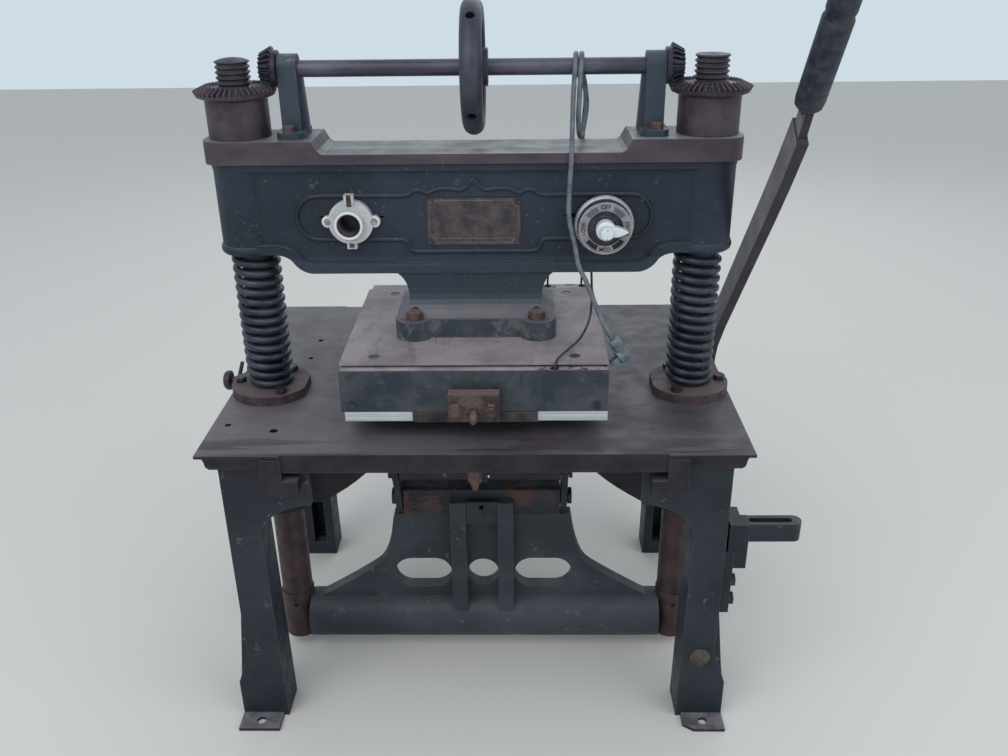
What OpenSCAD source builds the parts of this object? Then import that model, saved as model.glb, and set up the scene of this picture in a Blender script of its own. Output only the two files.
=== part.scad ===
// Arming press: a bench-height toggle press with an electrically heated platen.
// Frame: millimetres, +Z up, front is -Y. Origin on the floor under the middle of the table.

/* [Stand] */
// Length of the table along X
table_w = 672;        // [560:2:806]
// Depth of the table along Y
table_d = 506;        // [430:2:606]
// Height of the table's working face above the floor
table_h = 428;        // [420:1:500]
// Thickness of the table's plate
table_t = 16;         // [12:1:22]
// Depth of the table's moulded rim below its working face
rim_h = 25;           // [20:1:32]
// Distance of each leg's outer face inside the table's edge
leg_inset = 20;       // [12:1:34]
// Width of a leg seen from the front
leg_w = 41;           // [34:1:50]
// Depth of a leg
leg_d = 50;           // [42:1:60]
// Length of a foot flange in front of its leg
foot_l = 30;          // [24:1:36]
// Width of a foot flange
foot_w = 56;          // [48:1:62]

/* [Columns] */
// Distance of each column from the press's middle
col_x = 283;          // [270:1:300]
// Place of the column plane, behind the front
col_y = -68;          // [-90:1:-40]
// Diameter of the rods above the shoulder, and of their screws
rod_d = 41.2;         // [36:0.1:44]
// Diameter of the rods below the table
rod_low_d = 44.5;     // [43:0.1:50]
// Pitch of the screws at the rods' tops
screw_pitch = 6;      // [5:0.5:8]
// Diameter of the spring wire
wire_d = 9.8;         // [8:0.1:10]
// Active turns of a spring
spring_turns = 13;    // [9:1:15]

/* [Crosshead] */
// Height of the crosshead's guide bosses above the table
boss_rise = 201;      // [170:1:244]
// Height of a guide boss with the band and the end pad over it
cross_h = 141.9;      // [118:0.1:170]
// Step from an end pad down to the crosshead's long middle land
land_step = 15.1;     // [12:0.1:18]
// Thickness of the crosshead's top band
band_t = 12;          // [10:0.2:14.4]
// Half depth of the top band
band_hd = 42.5;       // [38:0.5:48]
// Half depth of the crosshead's web
web_hd = 31;          // [26:0.5:36]
// Radius of the crosshead's guide bosses
boss_r = 38;          // [34:0.5:41]
// Height of the adjusting shaft's axis above the end pads
shaft_rise = 77.5;    // [74:0.1:93]
// Diameter of the adjusting shaft
shaft_d = 19.4;       // [17:0.2:22]
// Radius of the handwheel
wheel_r = 77.4;       // [64:0.2:92]
// Width of the handwheel's rim
wheel_w = 27;         // [22:0.5:32]
// Pitch diameter of a gear nut
nut_pd = 97.2;        // [94:0.2:99]
// Teeth of each gear nut, twice those of its pinion
nut_teeth = 42;       // [36:2:48]
// Radius of a gear nut's hub
hub_r = 37.2;         // [34:0.2:40]

/* [Platen] */
// Width of the platen's top plate
plate_w = 324;        // [270:1:360]
// Depth of the platen's top plate
plate_d = 262;        // [230:1:290]
// Height of the top plate's upper face above the table
plate_rise = 97.6;    // [90:0.2:104]
// Thickness of the top plate
plate_t = 3.6;        // [3:0.2:6]
// Thickness of the insulating sheet between plate and heater block
sheet_t = 3;          // [2:0.2:5]
// Height of the heater block
heater_h = 53.6;      // [44:0.2:60]
// Width of the heater block
heater_w = 322;       // [268:1:352]
// Depth of the heater block with its front cover
heater_d = 311;       // [270:1:330]
// Front face of the heater block's cover
heater_y = -211;      // [-225:1:-205]
// Thickness of the polished die plate under the heater
die_t = 13.2;         // [10:0.2:16]

/* [Linkage] */
// Distance from the yoke's pins down to the bar at its bottom
yoke_h = 207;         // [200:1:211]
// Radius of that bar
yoke_r = 36.5;        // [32:0.5:42]
// Thickness of the yoke's web
yoke_t = 20;          // [16:1:24]
// Drop from the toggle's knee to the yoke's pins at rest
lower_drop = 61;      // [58:1:64]
// Drop from the toggle's upper pin to its knee at rest
upper_drop = 64;      // [60:1:68]
// How far in front of the column plane the knee stands at rest
knee_y = 28;          // [24:1:30]
// Depth of the toggle's upper pin under the table's working face
pin_depth = 46;       // [42:1:50]
// Throw of the eccentric on the rock shaft
throw = 20.5;         // [18:0.5:22]
// Depth of the rock shaft under the table's working face
rock_depth = 125;     // [120:1:130]
// Diameter of the rock shaft
rock_d = 30;          // [26:1:32]

/* [Lever] */
// Distance of the lever's bar outside the table's edge
lever_gap = 18;       // [12:1:24]
// Thickness of the lever's bar
lever_t = 13;         // [11:1:20]
// Width of the lever's bar
lever_w = 37;         // [30:1:44]
// Diameter of the lever's grip
grip_d = 32;          // [28:1:38]
// Length of the lever's grip
grip_l = 158;         // [126:2:190]

/* [Electrics] */
// Middle of the lampholder along X
lamp_x = -150.5;      // [-160:0.5:-140]
// Middle of the heat switch along X
switch_x = 159;       // [150:0.5:168]
// Diameter of the heat switch
switch_d = 72.4;      // [64:0.2:80]
// Diameter of the mains cord
cord_d = 6;           // [5:0.5:8]
// Diameter of the thin heater leads
lead_d = 3;           // [2:0.5:4]

/* [Clearances] */
// Radial running clearance of shafts, rods and pins
run_gap = 0.06;       // [0.03:0.01:0.1]
// Radial clearance of the linkage's two open pivots
open_gap = 1.9;       // [1.7:0.1:2.4]
// Radial clearance between a rod and its spring
spring_gap = 0.5;     // [0.4:0.05:3]
// Radial clearance of bolts in their holes
bolt_gap = 0.1;       // [0.05:0.05:0.5]

/* [Hidden] */
$fn = 48;
swing = 52;
half_w = table_w / 2;
half_d = table_d / 2;
leg_x = half_w - leg_inset;
front_y = -half_d + 20;
rear_y = half_d - 53;
boss_z = table_h + boss_rise;
low_z = boss_z - 22.5;
panel_z = boss_z + 42;
pad_z = boss_z + cross_h;
land_z = pad_z - land_step;
band_z = land_z - band_t;
shaft_z = pad_z + shaft_rise;
plate_z = table_h + plate_rise;
heater_top = plate_z - plate_t - sheet_t;
heater_z = heater_top - heater_h;
foot_z = plate_z + 25;
upper_pin_z = table_h - pin_depth;
knee_z = upper_pin_z - upper_drop;
yoke_pin_z = knee_z - lower_drop;
yoke_z = yoke_pin_z - yoke_h;
yoke_top = yoke_pin_z - 26;
rock_y = rear_y - 24;
rock_z = table_h - rock_depth;
lever_x = half_w + lever_gap + lever_t / 2;
spring_od = rod_d + 2 * wire_d + 2 * spring_gap;
table_under = table_h - table_t;
rim_z = table_h - rim_h;
cast_c = [0.13, 0.16, 0.19];
worn_c = [0.33, 0.22, 0.22];
steel_c = [0.42, 0.36, 0.34];
rust_c = [0.40, 0.24, 0.19];
rod_r = rod_d / 2;
rod_low_r = rod_low_d / 2;
shoulder_z = table_h - 184;
guide_z = table_h - 178;
spring_z0 = table_h + 13;
pinion_teeth = nut_teeth / 2;
nut_mod = nut_pd / nut_teeth;
nut_pr = nut_pd / 2;
pin_pr = nut_pr / 2;
nut_cone = atan(2);
nut_top = shaft_z - nut_pr / tan(nut_cone);
shank_r = rod_d / 2 - 2.4;
band_len = 2 * (col_x + boss_r + 2);
foot_bolt_x = 77;
foot_bolt_y = 51;
bracket_t = 7.8;
yoke_pin_r = 8;
knee_pin_r = 9;
knee = [col_y - knee_y, knee_z];
ecc = [rock_y - throw * sin(swing / 2), rock_z - throw * cos(swing / 2)];
post_x = col_x - nut_pr - 17.9;
bracket_bolt_x = post_x + 2;
bracket_bolt_y = [col_y - 21.5, col_y + 21.5];
plate_y = col_y;
clamp_y = heater_y - 3;
web_front = col_y - web_hd;
lamp_z = panel_z + 2;
socket_x = lamp_x - 1.2;
switch_z = panel_z - 3;
switch_h = 26.5;

// The mains cord: out of the web's back, twice over the shaft, then down the front to its plug
cord_path = [
  [136, -38, 690], [136, -26, 696], [136, -18.5, 712], [136, -17.5, 735], [136, -18, 758], [137, -24, 780],
  [138, -33, 803], [136, -43, 824], [132.5, -52, 838], [131.2, -54.2, 851], [130.5, -58, 858.4],
  [129.8, -65.5, 862.2], [129.1, -73, 861.5], [128.5, -79.4, 856.5], [128, -82.2, 848], [127.4, -83, 836],
  [127, -83, 816], [126.4, -82, 796], [127, -78, 781], [128.5, -70, 770], [131, -59, 765], [134, -48, 769],
  [137, -40, 781], [139, -38, 800], [136, -42, 820], [128, -49, 836], [124.2, -54.2, 851], [123.6, -58, 858.4],
  [123, -65.5, 862.2], [122.4, -73, 861.5], [121.8, -79.4, 856.5], [121.3, -82.2, 848], [120.6, -83.5, 836],
  [119.6, -86, 816], [119.2, -90, 794], [118.6, -97, 776], [118, -106, 765.5], [117.4, -114.5, 757.5],
  [117, -117.5, 745], [115.8, -117.6, 724], [115.2, -117.8, 704], [115.2, -118.2, 684], [117.3, -119.6, 670],
  [122.3, -122, 650], [127, -125.8, 625], [132, -129.6, 613], [136.2, -132.5, 605.7], [144.9, -139.5, 585.5],
  [150.4, -143, 572.5], [156, -146, 559.4], [165.1, -149.6, 542.6], [170, -151, 534.9]];
lead_front = [[145, -62, 612], [148, -64, 600], [149, -70, 580], [148.5, -84, 560], [144, -112, 546], [131, -146, 535],
  [112, -178, 531], [104, -192, 530], [99.5, -200.6, 528], [97.6, -204, 521.4], [97, -204.4, 512]];
lead_rear_a = [[151, -58, 612], [156, -52, 600], [150, -40, 589], [138, -10, 586], [118, 40, 574], [102, 78, 552],
  [97.5, 92, 532], [97.5, 92, 512]];
lead_rear_b = [[146, -54, 612], [149, -50, 604], [153, -30, 597], [151, 30, 576], [148, 76, 550], [147, 92, 532],
  [147, 92, 512]];

// ---- helpers -------------------------------------------------------------

// A cylinder along X from x0 to x1 through (y, z)
module along_x(x0, x1, y, z, r) {
  translate([x0, y, z]) rotate([0, 90, 0]) cylinder(h = x1 - x0, r = r);
}

// A cylinder along Y from y0 to y1 through (x, z)
module along_y(x, y0, y1, z, r) {
  translate([x, y0, z]) rotate([-90, 0, 0]) cylinder(h = y1 - y0, r = r);
}

// A block given by its two corners
module block(a, b) {
  translate(a) cube(b - a);
}

// A profile drawn in X and Z, carried along Y from y0 to y1
module plate_xz(y0, y1) {
  translate([0, y1, 0]) rotate([90, 0, 0]) linear_extrude(height = y1 - y0) children();
}

// A profile drawn in Y and Z, carried along X from x0 to x1
module plate_yz(x0, x1) {
  translate([x0, 0, 0]) rotate([90, 0, 90]) linear_extrude(height = x1 - x0) children();
}

// The same thing on both sides of the middle
module both_sides() {
  children();
  mirror([1, 0, 0]) children();
}

// The same thing in front of the column plane and behind it
module both_faces() {
  children();
  translate([0, 2 * col_y, 0]) mirror([0, 1, 0]) children();
}

// A flat rectangle with round corners
module round_rect(w, h, r) {
  square([w - 2 * r, h], center = true);
  square([w, h - 2 * r], center = true);
  for (sx = [-1, 1], sy = [-1, 1]) translate([sx * (w / 2 - r), sy * (h / 2 - r)]) circle(r = r);
}

// A hexagon head standing on z = 0
module hex_head(across, h) {
  cylinder(h = h, r = across / sqrt(3), $fn = 6);
}

// The points beside a bent line, at a distance d from it
function beside(p, d) = [for (i = [0:len(p) - 1])
  let (a = p[max(i, 1)] - p[max(i, 1) - 1], b = p[min(i + 1, len(p) - 1)] - p[min(i, len(p) - 2)],
       na = [-a[1], a[0]] / norm(a), nb = [-b[1], b[0]] / norm(b))
    p[i] + d * (na + nb) / (1 + na * nb)];

// A bent flat bar in Y and Z along a line
module bent_bar(p, w) {
  back = beside(p, -w / 2);
  polygon(concat(beside(p, w / 2), [for (i = [len(p) - 1:-1:0]) back[i]]));
}

// A straight flat bar in Y and Z between two points
module flat_bar(p, q, w) {
  d = q - p;
  translate(p) rotate(atan2(d[1], d[0])) translate([0, -w / 2]) square([norm(d), w]);
}

// Points of a quadratic curve
function curve(a, b, c, n) = [for (i = [0:n]) let (t = i / n) (1 - t) * (1 - t) * a + 2 * t * (1 - t) * b + t * t * c];

// A round tube along a list of points, as one closed body
module tube(path, d, sides) {
  n = len(path);
  rings = [for (i = [0:n - 1])
    let (t = path[min(i + 1, n - 1)] - path[max(i - 1, 0)], u = t / norm(t),
         a = cross(u, [1, 0, 0]), s = a / norm(a), b = cross(u, s))
    for (k = [0:sides - 1]) path[i] + d / 2 * (cos(360 * k / sides) * s + sin(360 * k / sides) * b)];
  walls = [for (i = [0:n - 2], k = [0:sides - 1])
    let (a = i * sides + k, b = i * sides + (k + 1) % sides) [a, b, b + sides, a + sides]];
  polyhedron(points = rings, faces = concat(walls,
    [[for (k = [sides - 1:-1:0]) k]], [[for (k = [0:sides - 1]) (n - 1) * sides + k]]));
}

// A list of points made finer by rounding its corners
function finer(p) = concat([p[0]],
  [for (i = [0:len(p) - 2], t = [0.25, 0.75]) p[i] + t * (p[i + 1] - p[i])], [p[len(p) - 1]]);

// ---- stand ---------------------------------------------------------------

// Section of the table's moulded rim: a thin lip over an ogee
module rim_profile(half) {
  side = concat([[half, table_h], [half, table_h - 3.6], [half - 2.2, table_h - 5]],
    curve([half - 2.2, table_h - 5], [half - 7.6, table_h - 6], [half - 8.2, table_h - 13], 5),
    curve([half - 8.4, table_h - 13.6], [half - 8.8, rim_z + 2.6], [half - 11.6, rim_z + 1.4], 4), [[half - 11.8, rim_z]]);
  polygon(concat(side, [for (i = [len(side) - 1:-1:0]) [-side[i][0], side[i][1]]]));
}

// One hook under the table's front edge, on the right
module table_hook() {
  x0 = half_w - 121.5;
  x1 = half_w - 78;
  x2 = half_w - 103;
  z0 = table_h - 55;
  plate_xz(-table_d / 2, -table_d / 2 + 14.5) {
    difference() {
      union() {
        translate([x0, z0]) square([x1 - x0 - 12, 19]);
        translate([x2, z0]) square([x1 - x2 - 12, table_h - 6 - z0]);
        translate([x1 - 12 - 1, z0 + 12]) square([13, table_h - 6 - z0 - 12]);
        translate([x1 - 12, z0 + 12]) circle(r = 12);
      }
      translate([x0, z0]) rotate(45) square(5, center = true);
    }
  }
}

// The rib under the table that ties a rod guide to a pin lug, on the right
module table_rib() {
  z1 = table_under + 2;
  plate_xz(col_y - 8, col_y + 8)
    polygon(concat([[126, z1], [126, upper_pin_z - 14]], curve([140, upper_pin_z - 46], [148, upper_pin_z - 82], [col_x - 55, guide_z + 2], 8),
      [[col_x - 30, guide_z], [col_x - 30, z1]]));
}

module table() {
  w = table_w / 2;
  d = table_d / 2;
  color(worn_c) difference() {
    union() {
      intersection() {
        plate_xz(-d, d) rim_profile(w);
        plate_yz(-w, w) rim_profile(d);
      }
      block([-w + 103, -d + 3.4, rim_z], [w - 103, -d + 30, table_h]);
      both_sides() {
        table_hook();
        translate([col_x, col_y, guide_z]) cylinder(h = table_h - 4 - guide_z, r = boss_r);
        table_rib();
        plate_yz(114, 130) {
          translate([col_y, upper_pin_z]) circle(r = 17);
          translate([col_y - 17, upper_pin_z]) square([34, table_under + 4 - upper_pin_z]);
        }
      }
    }
    // hollow underside
    difference() {
      block([-w + 44, -d + 34, rim_z - 3], [w - 44, d - 34, table_under]);
      both_sides() {
        block([leg_x - leg_w - 14, -d, 0], [leg_x + 20, -d + 20 + leg_d + 6, table_h]);
        block([leg_x - leg_w - 14, rear_y - leg_d - 4, 0], [leg_x + 20, rear_y + 4, table_h]);
        translate([col_x, col_y, 0]) cylinder(h = table_h, r = boss_r);
        table_rib();
        plate_yz(114, 130) translate([col_y - 17, upper_pin_z - 20]) square([34, 100]);
      }
    }
    block([-w + 103, -d - 1, table_h - 26], [w - 103, -d + 3.4, table_h + 1]);
    both_sides() {
      translate([col_x, col_y, 0]) cylinder(h = table_h + 1, r = 28);
      for (y = [front_y + 25, rear_y - 25]) translate([leg_x - leg_w / 2, y, 0]) cylinder(h = table_h - 9, r = 5 + bolt_gap);
    }
    along_x(-131, 131, col_y, upper_pin_z, 9 + bolt_gap / 2);
    for (p = [[-w + 86, 105, 4], [-w + 84, 38, 3.5], [-w + 82, -188, 5], [-w + 20, -172, 4]])
      translate([p[0], p[1], table_h - 10]) cylinder(h = 11, r = p[2]);
    block([-w + 102, d - 3, rim_z - 1], [-w + 176, d + 1, table_h + 1]);
    along_x(-w - 1, -w + 30, -18, table_h - 9, 5 + run_gap);
    translate([0, -d + 14, rim_z - 3]) cylinder(h = 20, r = 6 + bolt_gap);
  }
}

// A leg with its head plate; the front one on the right before mirroring
module leg(tag_side) {
  x1 = leg_x;
  x0 = leg_x - leg_w;
  y0 = front_y;
  difference() {
    union() {
      plate_xz(y0, y0 + leg_d)
        polygon([[x0, rim_z], [x0 - 5, 0], [x1 + 17, 0], [x1 + 17, 60], [x1 + 5, 92], [x1, 106], [x1, rim_z]]);
      plate_xz(y0, y0 + 12)
        polygon(concat([[x1 - 110, rim_z], [x1 - 110, rim_z - 57], [x1 - 94, rim_z - 58]],
          curve([x1 - 84, rim_z - 61], [x0 - 3, rim_z - 73], [x0 + 3, rim_z - 113], 8), [[x0 + 3, rim_z]]));
      plate_xz(y0 + 3, y0 + 22)
        polygon([[x1 - 3, 185], [x1, 185], [x1 + 10, 96], [x1 + 14, 66], [x1 - 3, 60]]);
      block([x1 + 17 - foot_w, y0 - foot_l, 0], [x1 + 17, y0 + 2, 5]);
    }
    block([x0 + 10, y0 + 12, 24], [x1 - 10, y0 + leg_d + 1, rim_z - 23]);
    translate([x1 + 17 - foot_w / 2, y0 - foot_l / 2, -1]) cylinder(h = 8, r = 6.5);
    translate([x0 + leg_w / 2, y0 + 25, 0]) cylinder(h = table_h, r = 5 + bolt_gap);
  }
}

// A rear leg faces backwards and carries the rock shaft in a boss
module rear_leg() {
  difference() {
    union() {
      difference() {
        translate([0, -33, 0]) mirror([0, 1, 0]) leg();
        block([leg_x - leg_w - 10, rear_y - 60, rock_z - 26], [leg_x - leg_w + 11, rear_y + 10, rock_z + 26]);
      }
      along_x(leg_x - leg_w, leg_x + 8, rock_y, rock_z, 26);
    }
    along_x(leg_x - leg_w - 20, leg_x + 20, rock_y, rock_z, rock_d / 2 + run_gap);
  }
}

module leg_front_right() {
  color(cast_c) difference() {
    leg();
    linear_extrude(height = 12) polygon([[leg_x - 46, front_y - 19], [leg_x - 38, front_y - 21],
      [leg_x - 22, front_y - 32], [leg_x - 46, front_y - 32]]);
    block([leg_x, stop_y - 14.2, 165.8], [leg_x + 20, stop_y + 18.2, 190]);
    plate_yz(leg_x - 5, leg_x + 1) for (z = [178, 208]) translate([front_y + 33, z]) circle(r = 5 + bolt_gap);
  }
}

module leg_front_left() { color(cast_c) mirror([1, 0, 0]) leg(); }
module leg_rear_right() { color(cast_c) rear_leg(); }
module leg_rear_left() { color(cast_c) mirror([1, 0, 0]) rear_leg(); }

module leg_bolts() {
  color(steel_c) both_sides() for (y = [front_y + 25, rear_y - 25]) translate([leg_x - leg_w / 2, y, rim_z - 31]) {
    hex_head(16, 8);
    translate([0, 0, 7]) cylinder(h = 40, r = 5);
  }
}

// A flanged guide bush for a rod, with a flat on the side towards the middle
module bush() {
  color(worn_c) difference() {
    union() {
      translate([col_x, col_y, table_h]) cylinder(h = 13, r = 53);
      translate([col_x, col_y, guide_z + 4]) cylinder(h = table_h - guide_z, r = 28);
    }
    block([col_x - 60, col_y - 60, table_h - 1], [col_x - 49, col_y + 60, table_h + 14]);
    translate([col_x, col_y, 0]) cylinder(h = table_h + 20, r = rod_r + run_gap);
    for (a = [0, 120, 240]) translate([col_x + 42 * cos(a), col_y + 42 * sin(a), table_h]) cylinder(h = 40, r = 5 + bolt_gap);
  }
}

module bush_right() { bush(); }
module bush_left() { mirror([1, 0, 0]) bush(); }

module bush_bolts() {
  color(rust_c) both_sides() for (a = [0, 120, 240])
    translate([col_x + 42 * cos(a), col_y + 42 * sin(a), table_h]) {
      translate([0, 0, 13]) hex_head(13.5, 7);
      cylinder(h = 14, r = 5);
    }
}

module upper_pin() { color(steel_c) along_x(-131, 131, col_y, upper_pin_z, 9); }

// The slotted stop for the lever, bolted to the right front leg
module lever_stop() {
  color(cast_c) difference() {
    union() {
      block([leg_x, stop_y - 14, 166], [leg_x + 16, stop_y + 18, 262]);
      block([leg_x + 8, stop_y - 12, 236], [leg_x + 33, stop_y + 12, 303]);
      translate([0, stop_y, 277]) linear_extrude(height = 26) {
        translate([leg_x + 10, -11]) square([80, 22]);
        translate([leg_x + 90, 0]) circle(r = 11);
      }
      block([leg_x + 10, stop_y + 11, 277], [leg_x + 26, stop_y + 36, 300]);
    }
    translate([0, stop_y, 270]) linear_extrude(height = 40) {
      translate([leg_x + 38, -5]) square([46, 10]);
      for (x = [38, 84]) translate([leg_x + x, 0]) circle(r = 5);
    }
    for (z = [178, 208]) along_x(leg_x - 1, leg_x + 17, front_y + 33, z, 5 + bolt_gap);
  }
}

module lever_stop_bolts() {
  color(steel_c) for (z = [178, 208]) {
    along_x(leg_x - 4, leg_x + 17, front_y + 33, z, 5);
    translate([leg_x + 16, front_y + 33, z]) rotate([0, 90, 0]) hex_head(16, 8);
  }
}

// A small screw with a mushroom head and a cross pin, in the table's left edge
module side_knob() {
  x0 = -table_w / 2;
  color(steel_c) {
    along_x(x0 - 18, x0 + 24, -18, table_h - 9, 5);
    translate([x0 - 17, -18, table_h - 9]) rotate([0, -90, 0]) rotate_extrude()
      polygon([[0, 0], [8, 0], [13.4, 2], [14, 4], [13.6, 8], [11, 11], [6, 12.6], [0, 13]]);
    translate([x0 - 9, -18, table_h - 9]) rotate([-60, 0, 0]) translate([0, 0, -18]) cylinder(h = 49, r = 2.8);
  }
}

module apron_screw() {
  color(rust_c) translate([0, -half_d + 14, rim_z - 3]) {
    translate([0, 0, 0.5]) cylinder(h = 16, r = 6);
    translate([0, 0, -16]) cylinder(h = 17, r = 8.4, $fn = 6);
    translate([0, 0, -27]) cylinder(h = 12, r1 = 3.4, r2 = 6.4, $fn = 24);
  }
}

module leg_tag() {
  color([0.62, 0.52, 0.33]) {
    along_y(leg_x - 19.5, front_y - 1.6, front_y, 104, 13.4);
    for (z = [93.5, 114.5]) along_y(leg_x - 19.5, front_y - 2.6, front_y - 1, z, 1.5);
  }
}

// ---- springs -------------------------------------------------------------

// An open coil spring with close end turns
module spring() {
  r = spring_od / 2 - wire_d / 2;
  z0 = spring_z0 + wire_d / 2 + 0.2;
  z1 = boss_z - wire_d / 2 - 0.2;
  per = 16;
  total = spring_turns + 1;
  close = wire_d + 0.5;
  open_pitch = (z1 - z0 - close) / spring_turns;
  path = [for (i = [0:total * per])
    let (t = i / per, z = t < 0.5 ? close * t : t > total - 0.5
      ? z1 - z0 - close * (total - t)
      : close / 2 + (t - 0.5) * open_pitch)
    [r * cos(360 * t), r * sin(360 * t), z0 + z]];
  sides = 8;
  n = len(path);
  rings = [for (i = [0:n - 1], k = [0:sides - 1])
    let (a = 360 * i / per, c = 360 * k / sides, q = r + wire_d / 2 * cos(c))
    [q * cos(a), q * sin(a), path[i][2] + wire_d / 2 * sin(c)]];
  walls = [for (i = [0:n - 2], k = [0:sides - 1])
    let (a = i * sides + k, b = i * sides + (k + 1) % sides) [a, b, b + sides, a + sides]];
  color([0.28, 0.25, 0.26]) translate([col_x, col_y, 0]) mirror([0, 1, 0]) polyhedron(points = rings, faces = concat(walls,
    [[for (k = [sides - 1:-1:0]) k]], [[for (k = [0:sides - 1]) (n - 1) * sides + k]]));
}

module spring_right() { spring(); }
module spring_left() { translate([-2 * col_x, 0, 0]) spring(); }

// ---- ram: rods, yoke and its pins ---------------------------------------

// A rod: spigot, guide shank, shoulder, relieved shank inside the spring and threaded top
module rod(side, domed) {
  top = pad_z + 90;
  end = top - (domed ? 3 : 1);
  turns = floor((end - pad_z - 8) / screw_pitch);
  start = end - turns * screw_pitch;
  foot = yoke_z + 47;
  color([0.40, 0.24, 0.22]) translate([side * col_x, col_y, 0]) rotate_extrude() polygon(concat(
    [[0, yoke_z - 31], [16, yoke_z - 31], [16, foot], [rod_low_r, foot], [rod_low_r, shoulder_z - 3],
     [rod_low_r - 3, shoulder_z], [rod_r, shoulder_z], [rod_r, spring_z0 + 8], [shank_r, spring_z0 + 10.4],
     [shank_r, boss_z - 22.4], [rod_r, boss_z - 20]],
    [for (i = [0:turns - 1]) let (z = start + i * screw_pitch)
      each [[rod_r, z], [rod_r - 2.8, z + screw_pitch * 0.4], [rod_r - 2.8, z + screw_pitch * 0.5], [rod_r, z + screw_pitch * 0.9]]],
    domed ? [[rod_r, end], [rod_r - 2, top - 2], [14, top - 0.4], [7, top + 0.8], [0, top + 1.2]]
          : [[rod_r, end], [rod_r - 1, top], [0, top]]));
}

module rod_left() { rod(-1, true); }
module rod_right() { rod(1, false); }

module rod_sleeves() {
  color([0.36, 0.24, 0.23]) both_sides() difference() {
    translate([col_x, col_y, yoke_z - 31]) cylinder(h = 78, r = 24);
    translate([col_x, col_y, 0]) cylinder(h = 200, r = 16);
    along_y(col_x, col_y - 30, col_y - 20, yoke_z + 28, 3.5);
  }
}

// The yoke under the table: a round bar, a pierced web and four ribs
module yoke() {
  right = concat([[0, yoke_top], [127.5, yoke_top]], curve([129, yoke_top - 6], [138, yoke_top - 78], [159, yoke_top - 90], 6),
    curve([159, yoke_top - 90], [192, yoke_top - 114], [250, yoke_z + 33], 6), [[250, yoke_z], [0, yoke_z]]);
  color(cast_c) difference() {
    union() {
      along_x(-262, 262, col_y, yoke_z, yoke_r);
      both_sides() {
        plate_xz(col_y - yoke_t / 2, col_y + yoke_t / 2) difference() {
          polygon(right);
          translate([72, yoke_z + 79]) circle(r = 25.5);
          translate([106, yoke_z + 79]) circle(r = 25.5);
          translate([72, yoke_z + 53.5]) square([34, 51]);
        }
        both_faces() difference() {
          block([23, col_y - 30, yoke_z + 22], [45, col_y, yoke_pin_z + 5]);
          block([20, col_y - 17, yoke_top + 5], [50, col_y + 1, yoke_pin_z + 9]);
        }
      }
    }
    along_y(0, col_y - 40, col_y + 40, yoke_z + 80, 23.2);
    both_sides() {
      translate([col_x, col_y, 0]) cylinder(h = 200, r = 24.02);
      block([112.8, col_y - 30, yoke_pin_z - 26], [123, col_y + 30, yoke_pin_z]);
    }
  }
}

// The bar across the yoke's top that takes the links' pins
module yoke_head() {
  color(cast_c) difference() {
    union() {
      plate_yz(-112, 112) polygon([[col_y - 17, yoke_top + 5], [col_y - 17, yoke_pin_z + 19], [col_y - 12, yoke_pin_z + 22],
        [col_y + 12, yoke_pin_z + 22], [col_y + 17, yoke_pin_z + 19], [col_y + 17, yoke_top + 5]]);
      block([-22.8, col_y - 28, yoke_top - 4], [22.8, col_y - 10.5, yoke_pin_z + 6]);
      along_x(-22.8, 22.8, col_y - 17, yoke_top - 3, 6);
    }
    block([-130, col_y - 10.4, yoke_top - 20], [130, col_y + 30, yoke_top + 5]);
    along_y(0, col_y - 40, col_y - 14, yoke_pin_z - 3, 3.6);
    along_x(-113, 113, col_y, yoke_pin_z, yoke_pin_r + bolt_gap / 2);
  }
}

module yoke_pins() {
  color(steel_c) both_sides() {
    along_x(60, 124, col_y, yoke_pin_z, yoke_pin_r);
    along_x(123, 129, col_y, yoke_pin_z, yoke_pin_r + 4);
  }
}

// ---- toggle and lever -----------------------------------------------------

// The wide casting between the table's lugs and the knee
module upper_link() {
  u = [col_y, upper_pin_z];
  color(cast_c) difference() {
    union() {
      along_x(-111, 111, u[0], u[1], 16);
      along_x(-111, 111, knee[0], knee[1], 16);
      plate_yz(-111, 111) flat_bar(u, knee, 18);
    }
    translate([0, knee[0], knee[1]]) rotate([0, 90, 0]) cylinder(h = 26, r = 24, center = true);
    along_x(-112, 112, u[0], u[1], 9 + run_gap);
    along_x(-112, 112, knee[0], knee[1], knee_pin_r + run_gap / 6);
  }
}

module knee_pin() {
  color(steel_c) {
    along_x(-124, 124, knee[0], knee[1], knee_pin_r);
    both_sides() along_x(123, 127.5, knee[0], knee[1], knee_pin_r + 4);
  }
}

// Two flat links from the knee down to the yoke
module lower_links() {
  w = [col_y, yoke_pin_z];
  color(cast_c) both_sides() difference() {
    union() {
      along_x(113.5, 121.5, w[0], w[1], 23);
      along_x(113.5, 121.5, knee[0], knee[1], 18);
      plate_yz(113.5, 121.5) flat_bar(w, knee, 34);
    }
    along_x(113, 122, w[0], w[1], yoke_pin_r + open_gap);
    along_x(113, 122, knee[0], knee[1], knee_pin_r + run_gap);
  }
}

// The link from the eccentric on the rock shaft to the knee
module pull_link() {
  color(cast_c) difference() {
    union() {
      along_x(-10, 10, ecc[0], ecc[1], 53);
      along_x(-10, 10, knee[0], knee[1], 20);
      plate_yz(-8, 8) flat_bar(ecc, knee, 24);
    }
    along_x(-11, 11, ecc[0], ecc[1], 42 + run_gap);
    along_x(-11, 11, knee[0], knee[1], knee_pin_r + open_gap);
  }
}

module rock_shaft() {
  color(steel_c) {
    along_x(-leg_x - 24, lever_x + 20, rock_y, rock_z, rock_d / 2);
    along_x(-10, 10, ecc[0], ecc[1], 42);
    both_sides() along_x(10, 13, ecc[0], ecc[1], 46);
    along_x(-leg_x - 22, -leg_x - 9, rock_y, rock_z, 24);
  }
}

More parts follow.
